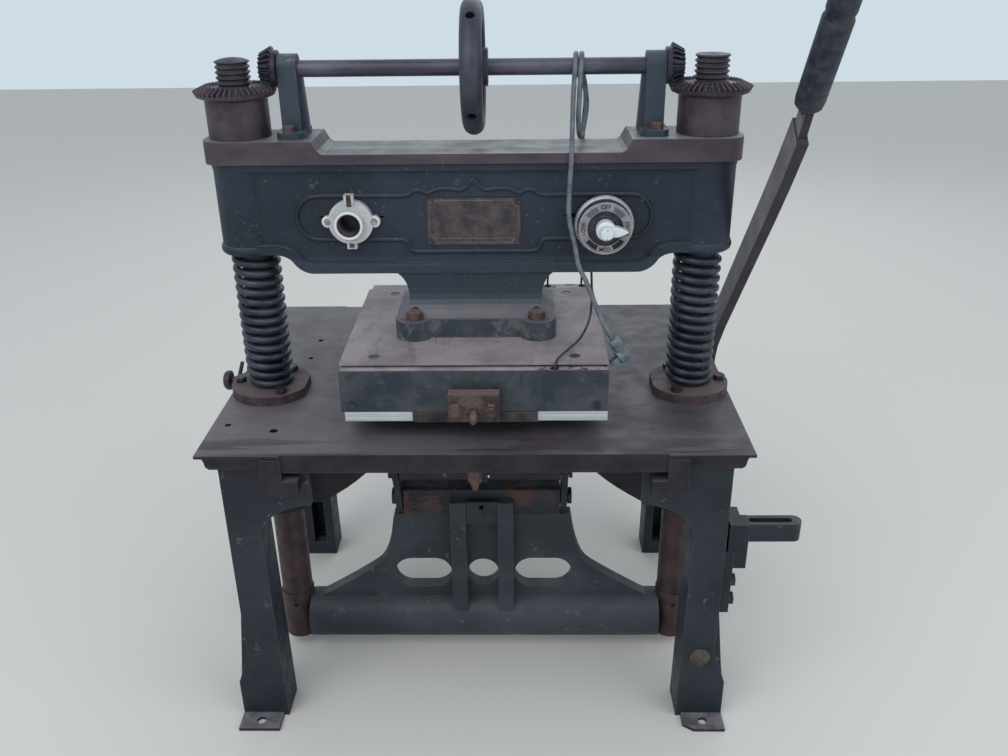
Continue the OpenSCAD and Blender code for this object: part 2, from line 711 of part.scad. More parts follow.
stop_y = front_y + 31;
lever_line = [[rock_y, rock_z], [rock_y - 4, rock_z + 69], [rock_y - 27, rock_z + 120],
  [rock_y - 163, rock_z + 267], [rock_y - 298, rock_z + 412], [rock_y - 363, rock_z + 490]];
neck_end = lever_line[5] + [-15, 28];
grip_dir = [-0.568, 0.823];

// The bent flat bar, its hub on the rock shaft and the round tang for the grip
module lever() {
  x0 = lever_x - lever_t / 2;
  x1 = lever_x + lever_t / 2;
  color([0.30, 0.24, 0.23]) difference() {
    union() {
      along_x(x0 - 8, x1 + 8, lever_line[0][0], lever_line[0][1], 32);
      plate_yz(x0, x1) bent_bar(finer(lever_line), lever_w);
      plate_yz(x0 + 2, x1 - 2) bent_bar([lever_line[5] - 12 * grip_dir, neck_end], 24);
      translate([lever_x, neck_end[0], neck_end[1]]) rotate([atan2(-grip_dir[0], grip_dir[1]), 0, 0])
        translate([0, 0, -6]) cylinder(h = grip_l - 4, r = 8);
    }
    along_x(x0 - 9, x1 + 9, rock_y, rock_z, rock_d / 2);
  }
}

module lever_grip() {
  color([0.16, 0.15, 0.16]) translate([lever_x, neck_end[0], neck_end[1]])
    rotate([atan2(-grip_dir[0], grip_dir[1]), 0, 0]) difference() {
      rotate_extrude() {
        polygon([[0, 2], [13, 2], [15.2, 5], [grip_d / 2, 12], [grip_d / 2, 112], [grip_d / 2 - 1.6, 115],
          [grip_d / 2 - 1.6, 120], [grip_d / 2 - 0.6, 123], [grip_d / 2 - 0.6, grip_l - 6], [12, grip_l], [0, grip_l]]);
      }
      translate([0, 0, -1]) cylinder(h = grip_l - 9, r = 8.02);
    }
}

// ---- crosshead ------------------------------------------------------------

// Outline of the crosshead's body seen from the front, right half
function low_edge() = concat([[0, low_z], [202, low_z]], curve([206, low_z + 0.3], [218, low_z + 2.5], [226, low_z + 13.5], 5),
  curve([228, low_z + 16.5], [234, boss_z + 1], [248, boss_z + 2], 4), [[col_x - 12, boss_z + 2]]);
function body_outline() = concat(low_edge(), [[col_x - 12, band_z + 1], [0, band_z + 1]]);
function rim_outline() = concat(low_edge(), [[col_x - 12, boss_z + 14], [246, boss_z + 14]],
  curve([240, boss_z + 13], [224, boss_z + 9], [218, boss_z + 1], 4),
  curve([214, boss_z - 5], [208, low_z + 11.5], [198, low_z + 11.5], 4), [[0, low_z + 11.5]]);

module crosshead() {
  color(cast_c) difference() {
    union() {
      // top band with its two end pads
      translate([0, col_y, band_z]) linear_extrude(height = land_z - band_z) round_rect(band_len, 2 * band_hd, 23);
      intersection() {
        translate([0, col_y, band_z]) linear_extrude(height = pad_z - band_z) round_rect(band_len, 2 * band_hd, 23);
        both_sides() plate_xz(col_y - 60, col_y + 60)
          translate([post_x, 0]) polygon([[-40.5, land_z], [-37.5, land_z + 0.8], [-33.5, land_z + 4], [-27.5, pad_z],
            [180, pad_z], [180, land_z - 1], [-40.5, land_z - 1]]);
      }
      // web, lower rim and bosses
      both_sides() {
        plate_xz(col_y - web_hd, col_y + web_hd) polygon(body_outline());
        plate_xz(col_y - web_hd - 6, col_y + web_hd + 6) polygon(rim_outline());
        plate_xz(col_y - web_hd - 7, col_y + web_hd + 7) polygon([[0, band_z - 9], [col_x, band_z - 9], [col_x, band_z], [0, band_z]]);
        translate([col_x, col_y, boss_z]) cylinder(h = band_z - boss_z + 1, r = boss_r);
        translate([col_x, col_y, band_z - 9]) cylinder(h = 9.5, r1 = boss_r + 0.8, r2 = boss_r + 1.6);
        translate([col_x, col_y, boss_z]) rotate_extrude()
          polygon([[rod_r, 0], [boss_r - 1, 0], [boss_r + 1.6, 1.4], [boss_r + 2.6, 4], [boss_r + 2.6, 7], [boss_r + 1.6, 10],
            [boss_r - 0.5, 12], [rod_r, 12]]);
      }
      // neck
      intersection() {
        both_sides() plate_xz(col_y - 80, col_y + 80)
          polygon(concat([[0, low_z + 13.5], [100, low_z + 13.5], [100, low_z]],
            curve([98, low_z - 0.5], [83.4, low_z - 10.5], [83.4, foot_z + 19.4], 6),
            curve([83.4, foot_z + 17.4], [84, foot_z + 7.4], [99, foot_z - 0.2], 5), [[0, foot_z - 0.2]]));
        plate_yz(-104, 104) polygon(concat([[col_y, low_z + 15.5], [col_y - web_hd - 3, low_z + 15.5], [col_y - web_hd - 3, foot_z + 39.4]],
          curve([col_y - web_hd - 3, foot_z + 35.4], [col_y - web_hd - 4, foot_z + 11.4], [col_y - 50, foot_z - 0.2], 6),
          curve([col_y + 50, foot_z - 0.2], [col_y + web_hd + 4, foot_z + 11.4], [col_y + web_hd + 3, foot_z + 35.4], 6),
          [[col_y + web_hd + 3, low_z + 15.5]]));
      }
      // foot with four lobes
      translate([0, col_y, plate_z]) linear_extrude(height = 25) {
        square([2 * 101, 2 * 45], center = true);
        square([2 * 90, 2 * 52.6], center = true);
        for (sx = [-1, 1], sy = [-1, 1]) translate([sx * 78.4, sy * 44]) circle(r = 23.4);
      }
      // raised bead around the panel
      panel_bead();
    }
    both_sides() translate([col_x, col_y, boss_z - 1]) cylinder(h = cross_h + 2, r = rod_r + run_gap);
    // two pointed openings behind the lampholder and the switch
    for (x = [lamp_x, switch_x - 8]) {
      along_y(x, web_front - 3, web_front + 40, panel_z + 3, 24);
      plate_xz(web_front - 3, web_front + 12) polygon([[x - 44, panel_z + 6], [x, panel_z - 3], [x + 44, panel_z + 6], [x, panel_z + 15]]);
    }
    // way for the leads through the web's underside, and for the cord through its back
    translate([148, col_y + 11, low_z - 5]) cylinder(h = 40, r = 11);
    along_y(136, col_y + 5, col_y + web_hd + 1, panel_z + 19, 4.5);
    for (sx = [-1, 1], sy = [-1, 1]) translate([sx * foot_bolt_x, col_y + sy * foot_bolt_y, plate_z - 1]) {
      cylinder(h = 40, r = 6.5);
      translate([0, 0, 26]) cylinder(h = 30, r = 11.2);
    }
    for (s = [-1, 1], y = bracket_bolt_y) translate([s * bracket_bolt_x, y, band_z + 2]) cylinder(h = 30, r = 5 + bolt_gap);
    for (x = [-53, 53], z = [-25, 25]) along_y(x, web_front - 1, web_front + 9, panel_z + z, 2);
    for (x = [-28.6, 28.6]) along_y(lamp_x + x, web_front - 1, web_front + 9, lamp_z, 2);
  }
}

// The raised bead round the panel, as half its outline seen from the front
bead_line = concat([[0, 51.5], [4, 47], [9, 41.5], [17, 38.3], [26, 40.8], [42, 40.4], [50, 37.5], [56, 34.8],
    [61, 37.5], [66, 39.3], [74, 38.3], [80, 34], [86, 32.5]],
  [for (a = [90:-15:-90]) [190 + 27.5 * cos(a), 5 + 27.5 * sin(a)]], [[84, -22.5], [81, -31], [76, -38], [0, -38]]);
module bead_shape(w) {
  translate([0, panel_z]) offset(delta = w) both_sides() polygon(concat(bead_line, [[-1, -38], [-1, 50]]));
}
module panel_bead() {
  plate_xz(web_front - 1.9, web_front + 1) difference() {
    bead_shape(1.9);
    bead_shape(-1.9);
    translate([lamp_x, lamp_z]) {
      circle(r = 28.2);
      square([12.4, 68.4], center = true);
    }
    translate([switch_x, switch_z]) circle(r = switch_d / 2 + 0.2);
  }
}

module platen_plate() {
  color([0.45, 0.39, 0.38]) difference() {
    block([-plate_w / 2, plate_y - plate_d / 2, plate_z - plate_t], [plate_w / 2, plate_y + plate_d / 2, plate_z]);
    for (sx = [-1, 1], sy = [-1, 1]) translate([sx * 122, plate_y + sy * 111.5, plate_z - 20]) {
      cylinder(h = 30, r = 3.5);
      translate([0, 0, 20 - 2]) cylinder(h = 5, r = 7.2);
    }
    for (sx = [-1, 1], sy = [-1, 1]) translate([sx * foot_bolt_x, col_y + sy * foot_bolt_y, plate_z - 20]) cylinder(h = 30, r = 6.5);
    translate([28, -134, plate_z - 3]) cylinder(h = 6, r = 2.6);
  }
}

// The insulating sheet between plate and heater block, set back at its edges
module heat_sheet() {
  color([0.20, 0.18, 0.18]) difference() {
    block([-plate_w / 2 + 9, plate_y - plate_d / 2 + 9, heater_top], [plate_w / 2 - 9, plate_y + plate_d / 2 - 9, plate_z - plate_t]);
    for (sx = [-1, 1], sy = [-1, 1]) {
      translate([sx * 122, plate_y + sy * 111.5, heater_top - 1]) cylinder(h = 8, r = 3.5);
      translate([sx * foot_bolt_x, col_y + sy * foot_bolt_y, heater_top - 1]) cylinder(h = 8, r = 6.5);
    }
  }
}

module heater_block() {
  top = heater_top;
  color([0.42, 0.33, 0.33]) difference() {
    block([-heater_w / 2, heater_y + 3, top - heater_h], [heater_w / 2, heater_y + heater_d, top]);
    for (p = [[97, heater_y + 9], [97.5, 92], [147, 92]]) translate([p[0], p[1], top - 16]) cylinder(h = 17, r = 5);
    for (sx = [-1, 1], sy = [-1, 1]) {
      translate([sx * 122, plate_y + sy * 111.5, top - 16]) cylinder(h = 30, r = 3.5);
      translate([sx * foot_bolt_x, col_y + sy * foot_bolt_y, top - 25]) cylinder(h = 30, r = 6.5);
    }
    // four bores for the rod heaters
    for (y = [-150, -80, -10, 60]) along_x(-heater_w / 2 + 12, heater_w / 2 + 1, y, top - 38, 8);
  }
}

module front_cover() {
  top = heater_top;
  color([0.14, 0.16, 0.18]) difference() {
    block([-heater_w / 2 - 0.6, heater_y, top - heater_h + 0.4], [heater_w / 2 + 0.6, heater_y + 3, top - 0.4]);
    for (s = [-1, 1]) along_y(s * 148, heater_y - 1, heater_y + 4, top - heater_h + 9, 3 + bolt_gap);
  }
}

module die_plate() {
  z1 = heater_z;
  color([0.72, 0.73, 0.74]) difference() {
    block([-158, heater_y + 2, z1 - die_t], [162, heater_y + heater_d - 3, z1]);
    block([-75.1, heater_y + 1, z1 - die_t - 1], [77.1, heater_y + 14.1, z1 + 1]);
  }
}

module clamp_bar() {
  z1 = heater_z;
  color(rust_c) block([-75, heater_y - 2, z1 - die_t + 0.4], [77, heater_y + 14, z1 - 0.1]);
}

module clamp_block() {
  color(rust_c) difference() {
    block([-30, heater_y - 18, heater_z - 4.4], [31, heater_y - 2.1, heater_z + 31.6]);
    for (x = [-21.5, 21.5]) along_y(x, heater_y - 20, heater_y, heater_z + 12.6, 5 + bolt_gap);
    along_y(0, heater_y - 20, heater_y, heater_z + 5.6, 5.5);
  }
}

module clamp_bolts() {
  color(rust_c) for (x = [-21.5, 21.5]) {
    along_y(x, heater_y - 19, heater_y - 2.2, heater_z + 12.6, 5);
    translate([x, heater_y - 18, heater_z + 12.6]) rotate([90, 0, 0]) hex_head(14.5, 7);
    along_y(x, heater_y - 28, heater_y - 24, heater_z + 12.6, 5);
  }
}

module clamp_stud() {
  color(rust_c) translate([0, heater_y - 2.2, heater_z + 5.6]) rotate([90, 0, 0]) rotate_extrude()
    polygon([[0, 0], [5.5, 0], [5.5, 30], [3, 37], [0, 37]]);
}

module foot_bolts() {
  color(rust_c) for (sx = [-1, 1], sy = [-1, 1]) translate([sx * foot_bolt_x, col_y + sy * foot_bolt_y, plate_z]) {
    translate([0, 0, -22]) cylinder(h = 48, r = 6.4);
    translate([0, 0, 25]) hex_head(18, 10);
  }
}

// Countersunk screws of the top plate, and the cover's two screws
module platen_screws() {
  color(steel_c) {
    for (sx = [-1, 1], sy = [-1, 1]) translate([sx * 122, plate_y + sy * 111.5, plate_z - 22]) {
      cylinder(h = 20.5, r = 3.4);
      translate([0, 0, 20.1]) cylinder(h = 1.4, r = 7);
    }
    for (s = [-1, 1]) {
      along_y(s * 148, heater_y - 1, heater_y + 2.9, heater_z + 9, 3);
      along_y(s * 148, heater_y - 3, heater_y, heater_z + 9, 4.5);
    }
  }
}

// ---- panel fittings -------------------------------------------------------

module nameplate() {
  color([0.38, 0.34, 0.28]) difference() {
    block([-57, web_front - 2.4, panel_z - 29], [57, web_front, panel_z + 29]);
    for (x = [-53, 53], z = [-25, 25]) along_y(x, web_front - 3, web_front + 1, panel_z + z, 2);
    block([-54, web_front - 3, panel_z - 21], [54, web_front - 1.9, panel_z + 21]);
  }
}

module panel_screws() {
  color([0.40, 0.36, 0.30]) {
    for (x = [-53, 53], z = [-25, 25]) {
      along_y(x, web_front - 2.4, web_front + 8, panel_z + z, 1.9);
      along_y(x, web_front - 4, web_front - 2.4, panel_z + z, 3.4);
    }
    for (x = [-28.6, 28.6]) {
      along_y(lamp_x + x, web_front - 6.2, web_front + 8, lamp_z, 1.9);
      along_y(lamp_x + x, web_front - 8, web_front - 6.2, lamp_z, 3.6);
    }
  }
}

// The porcelain lampholder: a flange with two ears, a collar and two tabs
module lampholder() {
  color([0.82, 0.80, 0.76]) difference() {
    union() {
      along_y(lamp_x, web_front - 9, web_front, lamp_z, 27.4);
      for (x = [-28.6, 28.6]) along_y(lamp_x + x, web_front - 6, web_front, lamp_z, 7.4);
      plate_xz(web_front - 6, web_front) translate([lamp_x - 28.6, lamp_z - 7.2]) square([57.2, 14.4]);
      along_y(socket_x, web_front - 19, web_front, lamp_z - 2, 17.6);
      for (z = [[22, 34], [-33, -22]]) block([lamp_x - 6, web_front - 11, lamp_z + z[0]], [lamp_x + 6, web_front, lamp_z + z[1]]);
    }
    along_y(socket_x, web_front - 20, web_front + 1, lamp_z - 2, 14.4);
    for (x = [-28.6, 28.6]) {
      along_y(lamp_x + x, web_front - 7, web_front + 1, lamp_z, 2);
      along_y(lamp_x + x, web_front - 10, web_front - 6, lamp_z, 4);
    }
    block([lamp_x - 3, web_front - 20, lamp_z + 19], [lamp_x + 3, web_front - 5, lamp_z + 35]);
  }
}

module lampholder_shell() {
  color([0.35, 0.30, 0.24]) difference() {
    along_y(socket_x, web_front - 17, web_front + 14, lamp_z - 2, 14.3);
    along_y(socket_x, web_front - 18, web_front + 12, lamp_z - 2, 13.3);
  }
}

module switch_body() {
  r = switch_d / 2;
  h = switch_h;
  color([0.30, 0.29, 0.29]) {
    translate([switch_x, web_front, switch_z]) rotate([90, 0, 0]) rotate_extrude() difference() {
      polygon([[0, 0], [r, 0], [r, 9.4], [r - 1, 11.6], [r - 3, 12.8], [r - 3.4, 14], [r - 4.2, h - 0.6], [r - 4.8, h],
        [r - 15, h], [r - 15, h - 2], [0, h - 2]]);
      translate([0, -1]) square([4 + run_gap, 40]);
    }
    along_y(switch_x - 8, web_front, web_front + 30, panel_z + 3, 20);
  }
}

// The white pointer knob
module switch_knob() {
  y = web_front - switch_h + 1.6;
  color([0.90, 0.90, 0.88]) {
    along_y(switch_x, y - 0.2, y + 18, switch_z, 4);
    along_y(switch_x, y - 15, y, switch_z, 12);
    along_y(switch_x, y - 28, y - 14, switch_z, 8);
    plate_xz(y - 20, y - 8) translate([switch_x, switch_z]) polygon([[0, -7.2], [10, -6.3], [14, -6], [26, 0], [14, 6], [10, 6.3], [0, 7.2]]);
  }
}

// ---- adjusting gear -------------------------------------------------------

// A bearing bracket for the adjusting shaft, on the right: an eight-sided foot, a post and a rib
module bracket() {
  x0 = post_x - 11.5;
  x1 = post_x + 11.5;
  wall = 3.8;
  hd = shaft_d / 2 + wall;
  cut = 7;
  color(cast_c) difference() {
    union() {
      translate([bracket_bolt_x - 2, col_y, pad_z]) linear_extrude(height = bracket_t)
        for (s = [0, 180]) rotate(s) polygon([[-16.5, -1], [-16.5, 30 - cut], [-16.5 + cut, 30], [16.5 - cut, 30], [16.5, 30 - cut], [16.5, -1]]);
      plate_yz(x0, x1) {
        translate([col_y, shaft_z + wall]) circle(r = hd);
        translate([col_y - hd, pad_z + 2]) square([2 * hd, shaft_rise + wall - 2]);
      }
      plate_xz(col_y - 5, col_y + 5) polygon([[x0 + 1, pad_z + 5], [x0 - 8, pad_z + 5], [x0 - 4, shaft_z - 4], [x0 + 1, shaft_z]]);
    }
    along_x(x0 - 20, x1 + 20, col_y, shaft_z, shaft_d / 2 + run_gap);
    for (y = bracket_bolt_y) translate([bracket_bolt_x, y, pad_z - 1]) {
      cylinder(h = 12, r = 5 + bolt_gap);
      translate([0, 0, bracket_t + 1]) cylinder(h = 30, r = 7.7);
    }
  }
}

module bracket_right() { bracket(); }
module bracket_left() { mirror([1, 0, 0]) bracket(); }

// Each bracket's two bolts, in front of its post and behind it
module bracket_bolts() {
  color(rust_c) both_sides() for (y = bracket_bolt_y) translate([bracket_bolt_x, y, pad_z]) {
    translate([0, 0, -20]) cylinder(h = 20 + bracket_t + 1, r = 5);
    translate([0, 0, bracket_t]) hex_head(13, 7.4);
  }
}

module adjusting_shaft() {
  end = col_x - nut_pr + 4;
  color([0.30, 0.27, 0.28]) along_x(-end, end, col_y, shaft_z, shaft_d / 2);
}

module handwheel() {
  color([0.26, 0.22, 0.23]) translate([2, col_y, shaft_z]) rotate([0, 90, 0]) difference() {
    union() {
      rotate_extrude() {
        translate([wheel_r - 13, 0]) circle(r = 13);
        translate([wheel_r - 22, -wheel_w / 2 + 2]) square([10, wheel_w - 4]);
        translate([14, -6]) square([wheel_r - 22, 12]);
        translate([shaft_d / 2 + 0.01, -13]) square([12, 30.5]);
      }
    }
    for (a = [0:3]) rotate([0, 0, 38 + 90 * a]) translate([wheel_r - 16, 0, 0]) rotate([0, 90, 0]) cylinder(h = 20, r = 5.5);
    translate([0, 0, -20]) cylinder(h = 50, r = shaft_d / 2 + 0.01);
  }
}

// A ring of bevel teeth. The apex is at z = 0 and the teeth face it from below.
// cone = pitch cone angle, pr = pitch radius, n = number of teeth, w = half tooth width in pitches
module bevel_teeth(n, pr, cone, phase) {
  back = pr / tan(cone);
  k = 1 - 15.5 / (pr / sin(cone));
  step = 360 / n;
  add = 0.85 * nut_mod;
  ded = 1.2 * nut_mod;
  // a point on the back cone: distance a outwards from the pitch line, at an angle
  function at(s, a, ang) = let (r = s * (pr + a * cos(cone)), z = -s * (back - a * sin(cone)))
    [r * cos(ang), r * sin(ang), z];
  function section(s) = [for (i = [0:n - 1]) let (m = phase + i * step) each
    [at(s, -ded, m - step * 0.29), at(s, add, m - step * 0.12), at(s, add, m + step * 0.12), at(s, -ded, m + step * 0.29)]];
  function floor_ring(s) = [for (i = [0:n - 1]) let (m = phase + i * step) each
    [at(s, -ded - 3, m - step * 0.29), at(s, -ded - 3, m - step * 0.12), at(s, -ded - 3, m + step * 0.12), at(s, -ded - 3, m + step * 0.29)]];
  c = 4 * n;
  pts = concat(section(1), section(k), floor_ring(1), floor_ring(k));
  // the four rings in order round the ring of teeth
  order = [0, c, 3 * c, 2 * c];
  faces = [for (i = [0:c - 1], q = [0:3]) let (j = (i + 1) % c, a = order[q], b = order[(q + 1) % 4]) each
    [[a + i, b + j, a + j], [a + i, b + i, b + j]]];
  polyhedron(points = pts, faces = faces);
}

// A pinion keyed to the shaft; the right one, whose teeth face the right rod
module pinion() {
  cone = 90 - nut_cone;
  back = nut_pr;
  color([0.24, 0.21, 0.22]) translate([col_x, col_y, shaft_z]) rotate([0, 90, 0]) difference() {
    union() {
      bevel_teeth(pinion_teeth, pin_pr, cone, 0);
      rotate_extrude() polygon([[0, -back - 6], [pin_pr - 3.2, -back - 6], [pin_pr - 2.9, -back - 1.4], [pin_pr - 3.6, -back + 0.6],
        [pin_pr - 10, -back + 14.6], [0, -back + 14.6]]);
    }
    translate([0, 0, -100]) cylinder(h = 100, r = shaft_d / 2 + 0.01);
  }
}

module pinion_right() { pinion(); }
module pinion_left() { mirror([1, 0, 0]) pinion(); }

// A gear nut: a hub that stands on the crosshead's pad, with bevel teeth on top
module nut() {
  color([0.30, 0.22, 0.23]) translate([col_x, col_y, 0]) difference() {
    union() {
      translate([0, 0, pad_z + 0.05]) cylinder(h = nut_top - 8 - pad_z, r = hub_r);
      translate([0, 0, shaft_z]) bevel_teeth(nut_teeth, nut_pr, nut_cone, 180 / nut_teeth);
      rotate_extrude() polygon([[0, nut_top - 9], [hub_r, nut_top - 9], [nut_pr - 2.2, nut_top - 4.4], [nut_pr - 1.9, nut_top - 3.4],
        [nut_pr - 15.9, nut_top + 4.4], [0, nut_top + 4.4]]);
    }
    translate([0, 0, pad_z - 1]) cylinder(h = 100, r = rod_r + run_gap);
  }
}

module nut_right() { nut(); }
module nut_left() { mirror([1, 0, 0]) nut(); }

// ---- wiring ---------------------------------------------------------------

module heater_leads() {
  color([0.12, 0.12, 0.13]) {
    tube(lead_front, lead_d, 8);
    tube(lead_rear_a, lead_d, 8);
    tube(lead_rear_b, lead_d, 8);
  }
}

module mains_cord() { color([0.42, 0.43, 0.43]) tube(cord_path, cord_d, 10); }

// A right-angled two-pin plug: the cord enters its barrel, and the prongs leave its head sideways
module plug() {
  tip = cord_path[len(cord_path) - 1];
  // the barrel runs along its own z, and the prongs along its own -y
  translate(tip) rotate([0, 143, 0]) rotate([0, 0, 72]) {
    color([0.40, 0.42, 0.43]) union() {
      rotate_extrude() polygon([[0, 0], [6, 0], [7.1, 1.2], [7.7, 4], [7.7, 27], [6.6, 31], [4.6, 33], [0, 33.4]]);
      translate([0, 0, 24]) rotate([90, 0, 0]) cylinder(h = 8.8, r = 8.6);
    }
    color([0.55, 0.52, 0.45]) for (s = [-1, 1]) translate([s * 4.6 - 0.75, -20, 21]) cube([1.5, 12, 6.2]);
  }
}

table();
leg_front_left();
leg_front_right();
leg_rear_left();
leg_rear_right();
leg_bolts();
bush_left();
bush_right();
bush_bolts();
upper_pin();
lever_stop();
lever_stop_bolts();
side_knob();
apron_screw();
leg_tag();
spring_left();
spring_right();
rod_left();
rod_right();
rod_sleeves();
yoke();
yoke_head();
yoke_pins();
upper_link();
knee_pin();
lower_links();
pull_link();
rock_shaft();
lever();
lever_grip();
crosshead();
platen_plate();
heat_sheet();
heater_block();
front_cover();
die_plate();
clamp_bar();
clamp_block();
clamp_bolts();
clamp_stud();
foot_bolts();
platen_screws();
nameplate();
panel_screws();
lampholder();
lampholder_shell();
switch_body();
switch_knob();
bracket_left();
bracket_right();
bracket_bolts();
adjusting_shaft();
handwheel();
pinion_left();
pinion_right();
nut_left();
nut_right();
heater_leads();
mains_cord();
plug();
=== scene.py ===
import math

import bmesh
import bpy
from mathutils import Matrix, Vector


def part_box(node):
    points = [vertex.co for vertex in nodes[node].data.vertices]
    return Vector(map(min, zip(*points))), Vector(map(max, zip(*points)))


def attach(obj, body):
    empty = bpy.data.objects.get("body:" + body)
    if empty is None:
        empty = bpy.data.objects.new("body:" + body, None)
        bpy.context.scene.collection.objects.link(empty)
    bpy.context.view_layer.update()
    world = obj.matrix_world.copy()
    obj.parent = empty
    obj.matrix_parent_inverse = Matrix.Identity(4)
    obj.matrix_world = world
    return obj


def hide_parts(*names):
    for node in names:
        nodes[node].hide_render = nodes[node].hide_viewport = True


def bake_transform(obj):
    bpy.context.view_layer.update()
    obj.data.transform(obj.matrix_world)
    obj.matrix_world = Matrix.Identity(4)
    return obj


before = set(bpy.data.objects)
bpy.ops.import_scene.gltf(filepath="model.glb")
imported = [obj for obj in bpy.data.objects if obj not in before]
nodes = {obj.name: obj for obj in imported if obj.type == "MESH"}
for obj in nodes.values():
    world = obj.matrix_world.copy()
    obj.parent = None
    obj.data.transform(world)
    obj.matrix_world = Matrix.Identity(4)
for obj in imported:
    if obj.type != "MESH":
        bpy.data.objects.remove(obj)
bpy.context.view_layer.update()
scene = bpy.context.scene
scene.view_settings.view_transform = "Standard"
MM = 0.001


# ---- measures taken from the frame ---------------------------------------------------

def low(node):
    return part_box(node)[0]


def high(node):
    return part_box(node)[1]


def middle(node):
    a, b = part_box(node)
    return (a + b) / 2


BUSH_DEPTH = 174 * MM
BAND_HEIGHT = 27.1 * MM

TABLE_TOP = low("bush_left").z + BUSH_DEPTH
COLUMN_Y = middle("rod_left").y
WEB_FRONT = high("nameplate").y
PANEL_Z = middle("nameplate").z
BAND_UNDER = high("crosshead").z - BAND_HEIGHT
FOOT_Z = low("foot_bolts").z
HEATER_FRONT = low("heater_block").y
LAMP = Vector((middle("lampholder").x, WEB_FRONT, PANEL_Z + 2 * MM))
SOCKET = LAMP + Vector((-1.2 * MM, 0, -2 * MM))
SWITCH = Vector((middle("switch_body").x, WEB_FRONT, PANEL_Z - 3 * MM))


# ---- camera --------------------------------------------------------------------------

CAMERA_PLACE = (0.05488, -1.22788, 0.98603)
CAMERA_PITCH = math.radians(25.052)
CAMERA_YAW = math.radians(-1.033)
CAMERA_ROLL = math.radians(-0.691)
CAMERA_LENS = 33.64


def add_camera():
    """The photograph's camera, as the straight edges of the table, beam and platen give it."""
    pitch, yaw, roll = CAMERA_PITCH, CAMERA_YAW, CAMERA_ROLL
    forward = Vector((math.sin(yaw) * math.cos(pitch), math.cos(yaw) * math.cos(pitch), -math.sin(pitch)))
    right = Vector((math.cos(yaw), -math.sin(yaw), 0))
    up = right.cross(forward)
    side = math.cos(roll) * right + math.sin(roll) * up
    top = -math.sin(roll) * right + math.cos(roll) * up
    data = bpy.data.cameras.new("camera")
    data.sensor_width = 36
    data.lens = CAMERA_LENS
    data.clip_start = 0.05
    camera = bpy.data.objects.new("camera", data)
    scene.collection.objects.link(camera)
    turn = Matrix((side, top, -forward)).transposed().to_4x4()
    camera.matrix_world = Matrix.Translation(CAMERA_PLACE) @ turn
    scene.camera = camera


# ---- shader helpers ------------------------------------------------------------------

def rgb(r, g, b):
    """A colour written as it looks on a screen, 0 to 255, as Blender's linear colour."""
    out = []
    for c in (r, g, b):
        c /= 255
        out.append(c / 12.92 if c <= 0.04045 else ((c + 0.055) / 1.055) ** 2.4)
    return (*out, 1.0)


def shade(colour, factor):
    """A screen colour made lighter or darker."""
    return rgb(*(min(255, c * factor) for c in colour))


